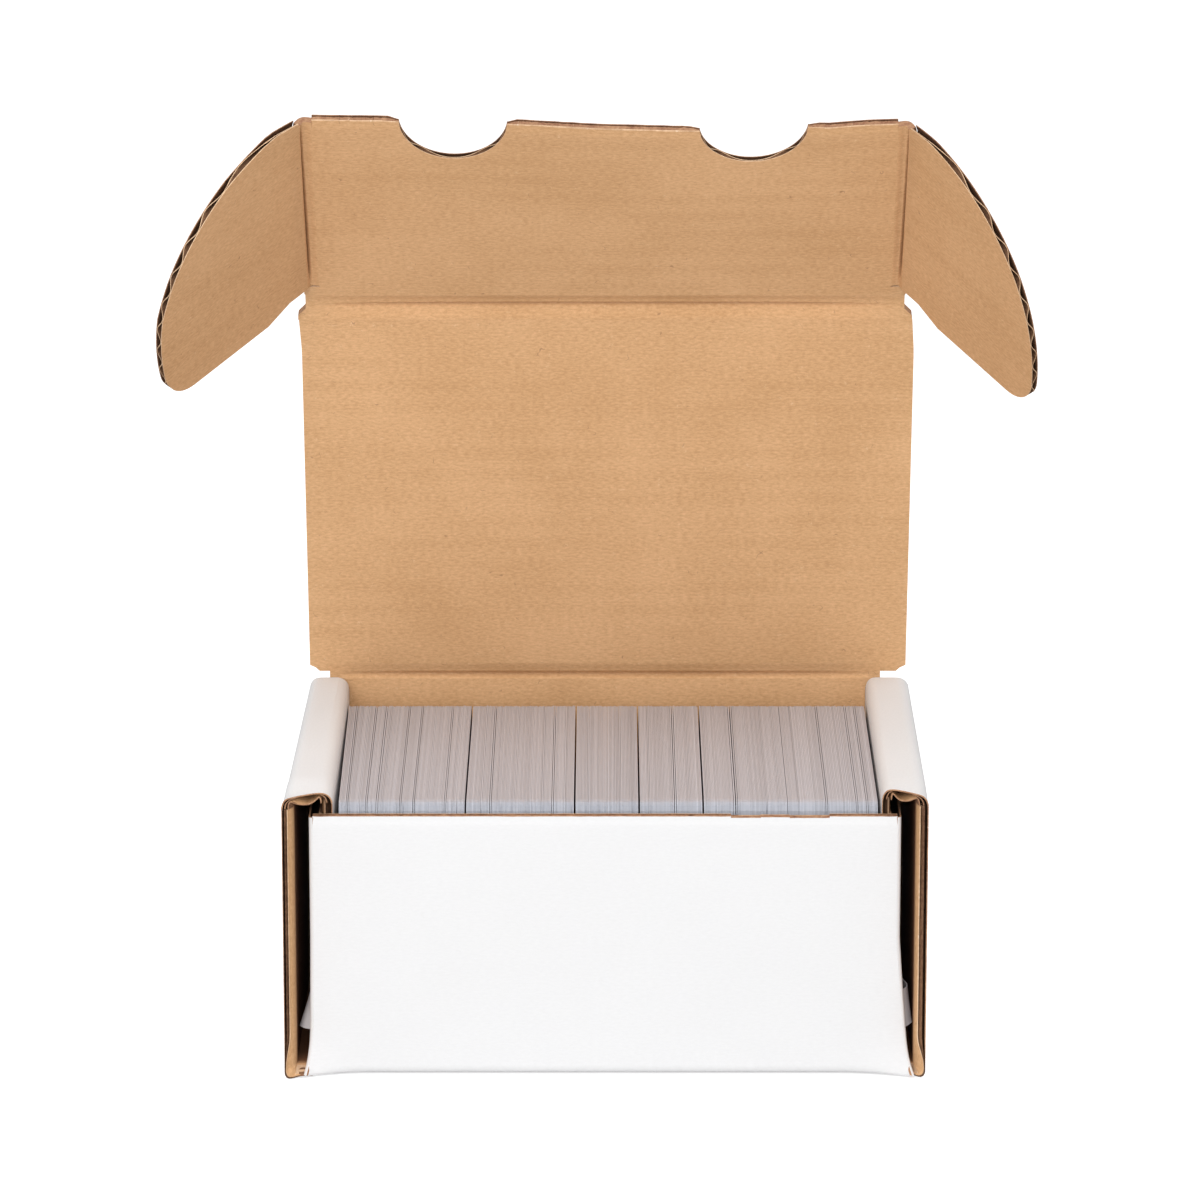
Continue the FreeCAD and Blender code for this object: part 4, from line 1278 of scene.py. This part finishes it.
# %% Fill the packs
FANNED = {"one": (-0.35, -1.2, 0, 0), "six": (0, 0, 1.9, 1.9)}
for pack in ("one", "two", "three", "four", "five", "six"):
    low, high = (corner[0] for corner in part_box(f"card_pack_{pack}"))
    high += 0.3 * MM * (pack == "five")
    count = round((high - low) / CARD_PITCH)
    first_front, first_back, last_front, last_back = (lean * MM for lean in FANNED.get(pack, (0, 0, 0, 0)))
    swell = 1 + last_front / (high - low)
    copies = []
    x = low
    for index, step in enumerate(card_steps(low, high, count)):
        share = (index + 0.5) / count
        lean_front = first_front * (1 - share) ** 3 + last_front * share ** 1.3
        lean_back = first_back * (1 - share) ** 3 + last_back * share ** 1.3
        copies.append(place_card(x + step / 2, lean_front, lean_back, swell))
        x += step
    whole = join(copies, f"cards_{pack}")
    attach(whole, f"card_pack_{pack}")
    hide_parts(f"card_pack_{pack}")
    print(whole.name, count, "cards")
bpy.data.objects.remove(card)

# %% [markdown]
# The box stands on a pale floor in an even, soft light that comes mostly from in front and from above. A
# glow that only the camera sees makes the floor look whiter, and the room is white to the camera and in
# reflections but lights the box with less.

# %% Floor
FLOOR_GREY, FLOOR_GLOW = 0.72, 0.62
bpy.ops.object.select_all(action="DESELECT")
bpy.ops.mesh.primitive_plane_add(size=6, location=(0, 0, -0.4 * MM))
floor = bpy.context.object
floor.name = "floor"
floor_white = bpy.data.materials.new("floor_white")
floor_white.use_nodes = True
tree = floor_white.node_tree
tree.nodes["Principled BSDF"].inputs["Base Color"].default_value = (*[FLOOR_GREY] * 3, 1)
tree.nodes["Principled BSDF"].inputs["Roughness"].default_value = 0.9
glow = tree.nodes.new("ShaderNodeEmission")
rays = tree.nodes.new("ShaderNodeLightPath")
camera_glow = math_node(tree, "MULTIPLY", rays.outputs["Is Camera Ray"], FLOOR_GLOW)
tree.links.new(camera_glow, glow.inputs["Strength"])
both = tree.nodes.new("ShaderNodeAddShader")
tree.links.new(tree.nodes["Principled BSDF"].outputs[0], both.inputs[0])
tree.links.new(glow.outputs[0], both.inputs[1])
tree.links.new(both.outputs[0], tree.nodes["Material Output"].inputs["Surface"])
floor.data.materials.append(floor_white)
print("floor:", floor.name)

# %% Room light
ROOM_LIGHT = 0.58
world = bpy.data.worlds.new("room")
bpy.context.scene.world = world
world.use_nodes = True
tree = world.node_tree
room = tree.nodes["Background"]
room.inputs["Color"].default_value = (1, 1, 1, 1)
rays = tree.nodes.new("ShaderNodeLightPath")
seen = math_node(tree, "MAXIMUM", rays.outputs["Is Camera Ray"], rays.outputs["Is Glossy Ray"])
tree.links.new(math_node(tree, "MULTIPLY_ADD", seen, 1 - ROOM_LIGHT, ROOM_LIGHT), room.inputs["Strength"])


def softbox(name, place, aim, size, power):
    """A large square lamp that faces a point."""
    bpy.ops.object.light_add(type="AREA", location=place)
    lamp = bpy.context.object
    lamp.name = name
    lamp.data.shape = "SQUARE"
    lamp.data.size = size
    lamp.data.energy = power
    lamp.rotation_euler = (Vector(aim) - Vector(place)).to_track_quat("-Z", "Y").to_euler()
    print(name, power, "W")


softbox("front_softbox", (-0.4, -1.8, 0.95), (0, 0, 0.12), 1.2, 20)
softbox("top_softbox", (0.2, -0.5, 1.6), (0, 0, 0.08), 1.2, 10)

# %% [markdown]
# The camera stands about a metre and a half in front and looks down a little. Its lens is long, so
# upright edges stay nearly parallel, and a small shift sets the box in its place in the frame.

# %% Camera
CAMERA_TILT = math.radians(14.65)
CAMERA_PLACE = (0, -1.5011, 0.4971)
FRAME_WIDE, FOCAL, FILM = 1200, 6351.47, 36
SHIFT_X, SHIFT_Y = -5, -2
camera_data = bpy.data.cameras.new("camera")
camera = bpy.data.objects.new("camera", camera_data)
bpy.context.collection.objects.link(camera)
camera.location = CAMERA_PLACE
camera.rotation_euler = (math.pi / 2 - CAMERA_TILT, 0, 0)
camera_data.lens = FILM * FOCAL / FRAME_WIDE
camera_data.shift_x = SHIFT_X / FRAME_WIDE
camera_data.shift_y = SHIFT_Y / FRAME_WIDE
bpy.context.scene.camera = camera
bpy.context.scene.view_settings.view_transform = "Standard"
print("lens:", round(camera_data.lens), "mm")
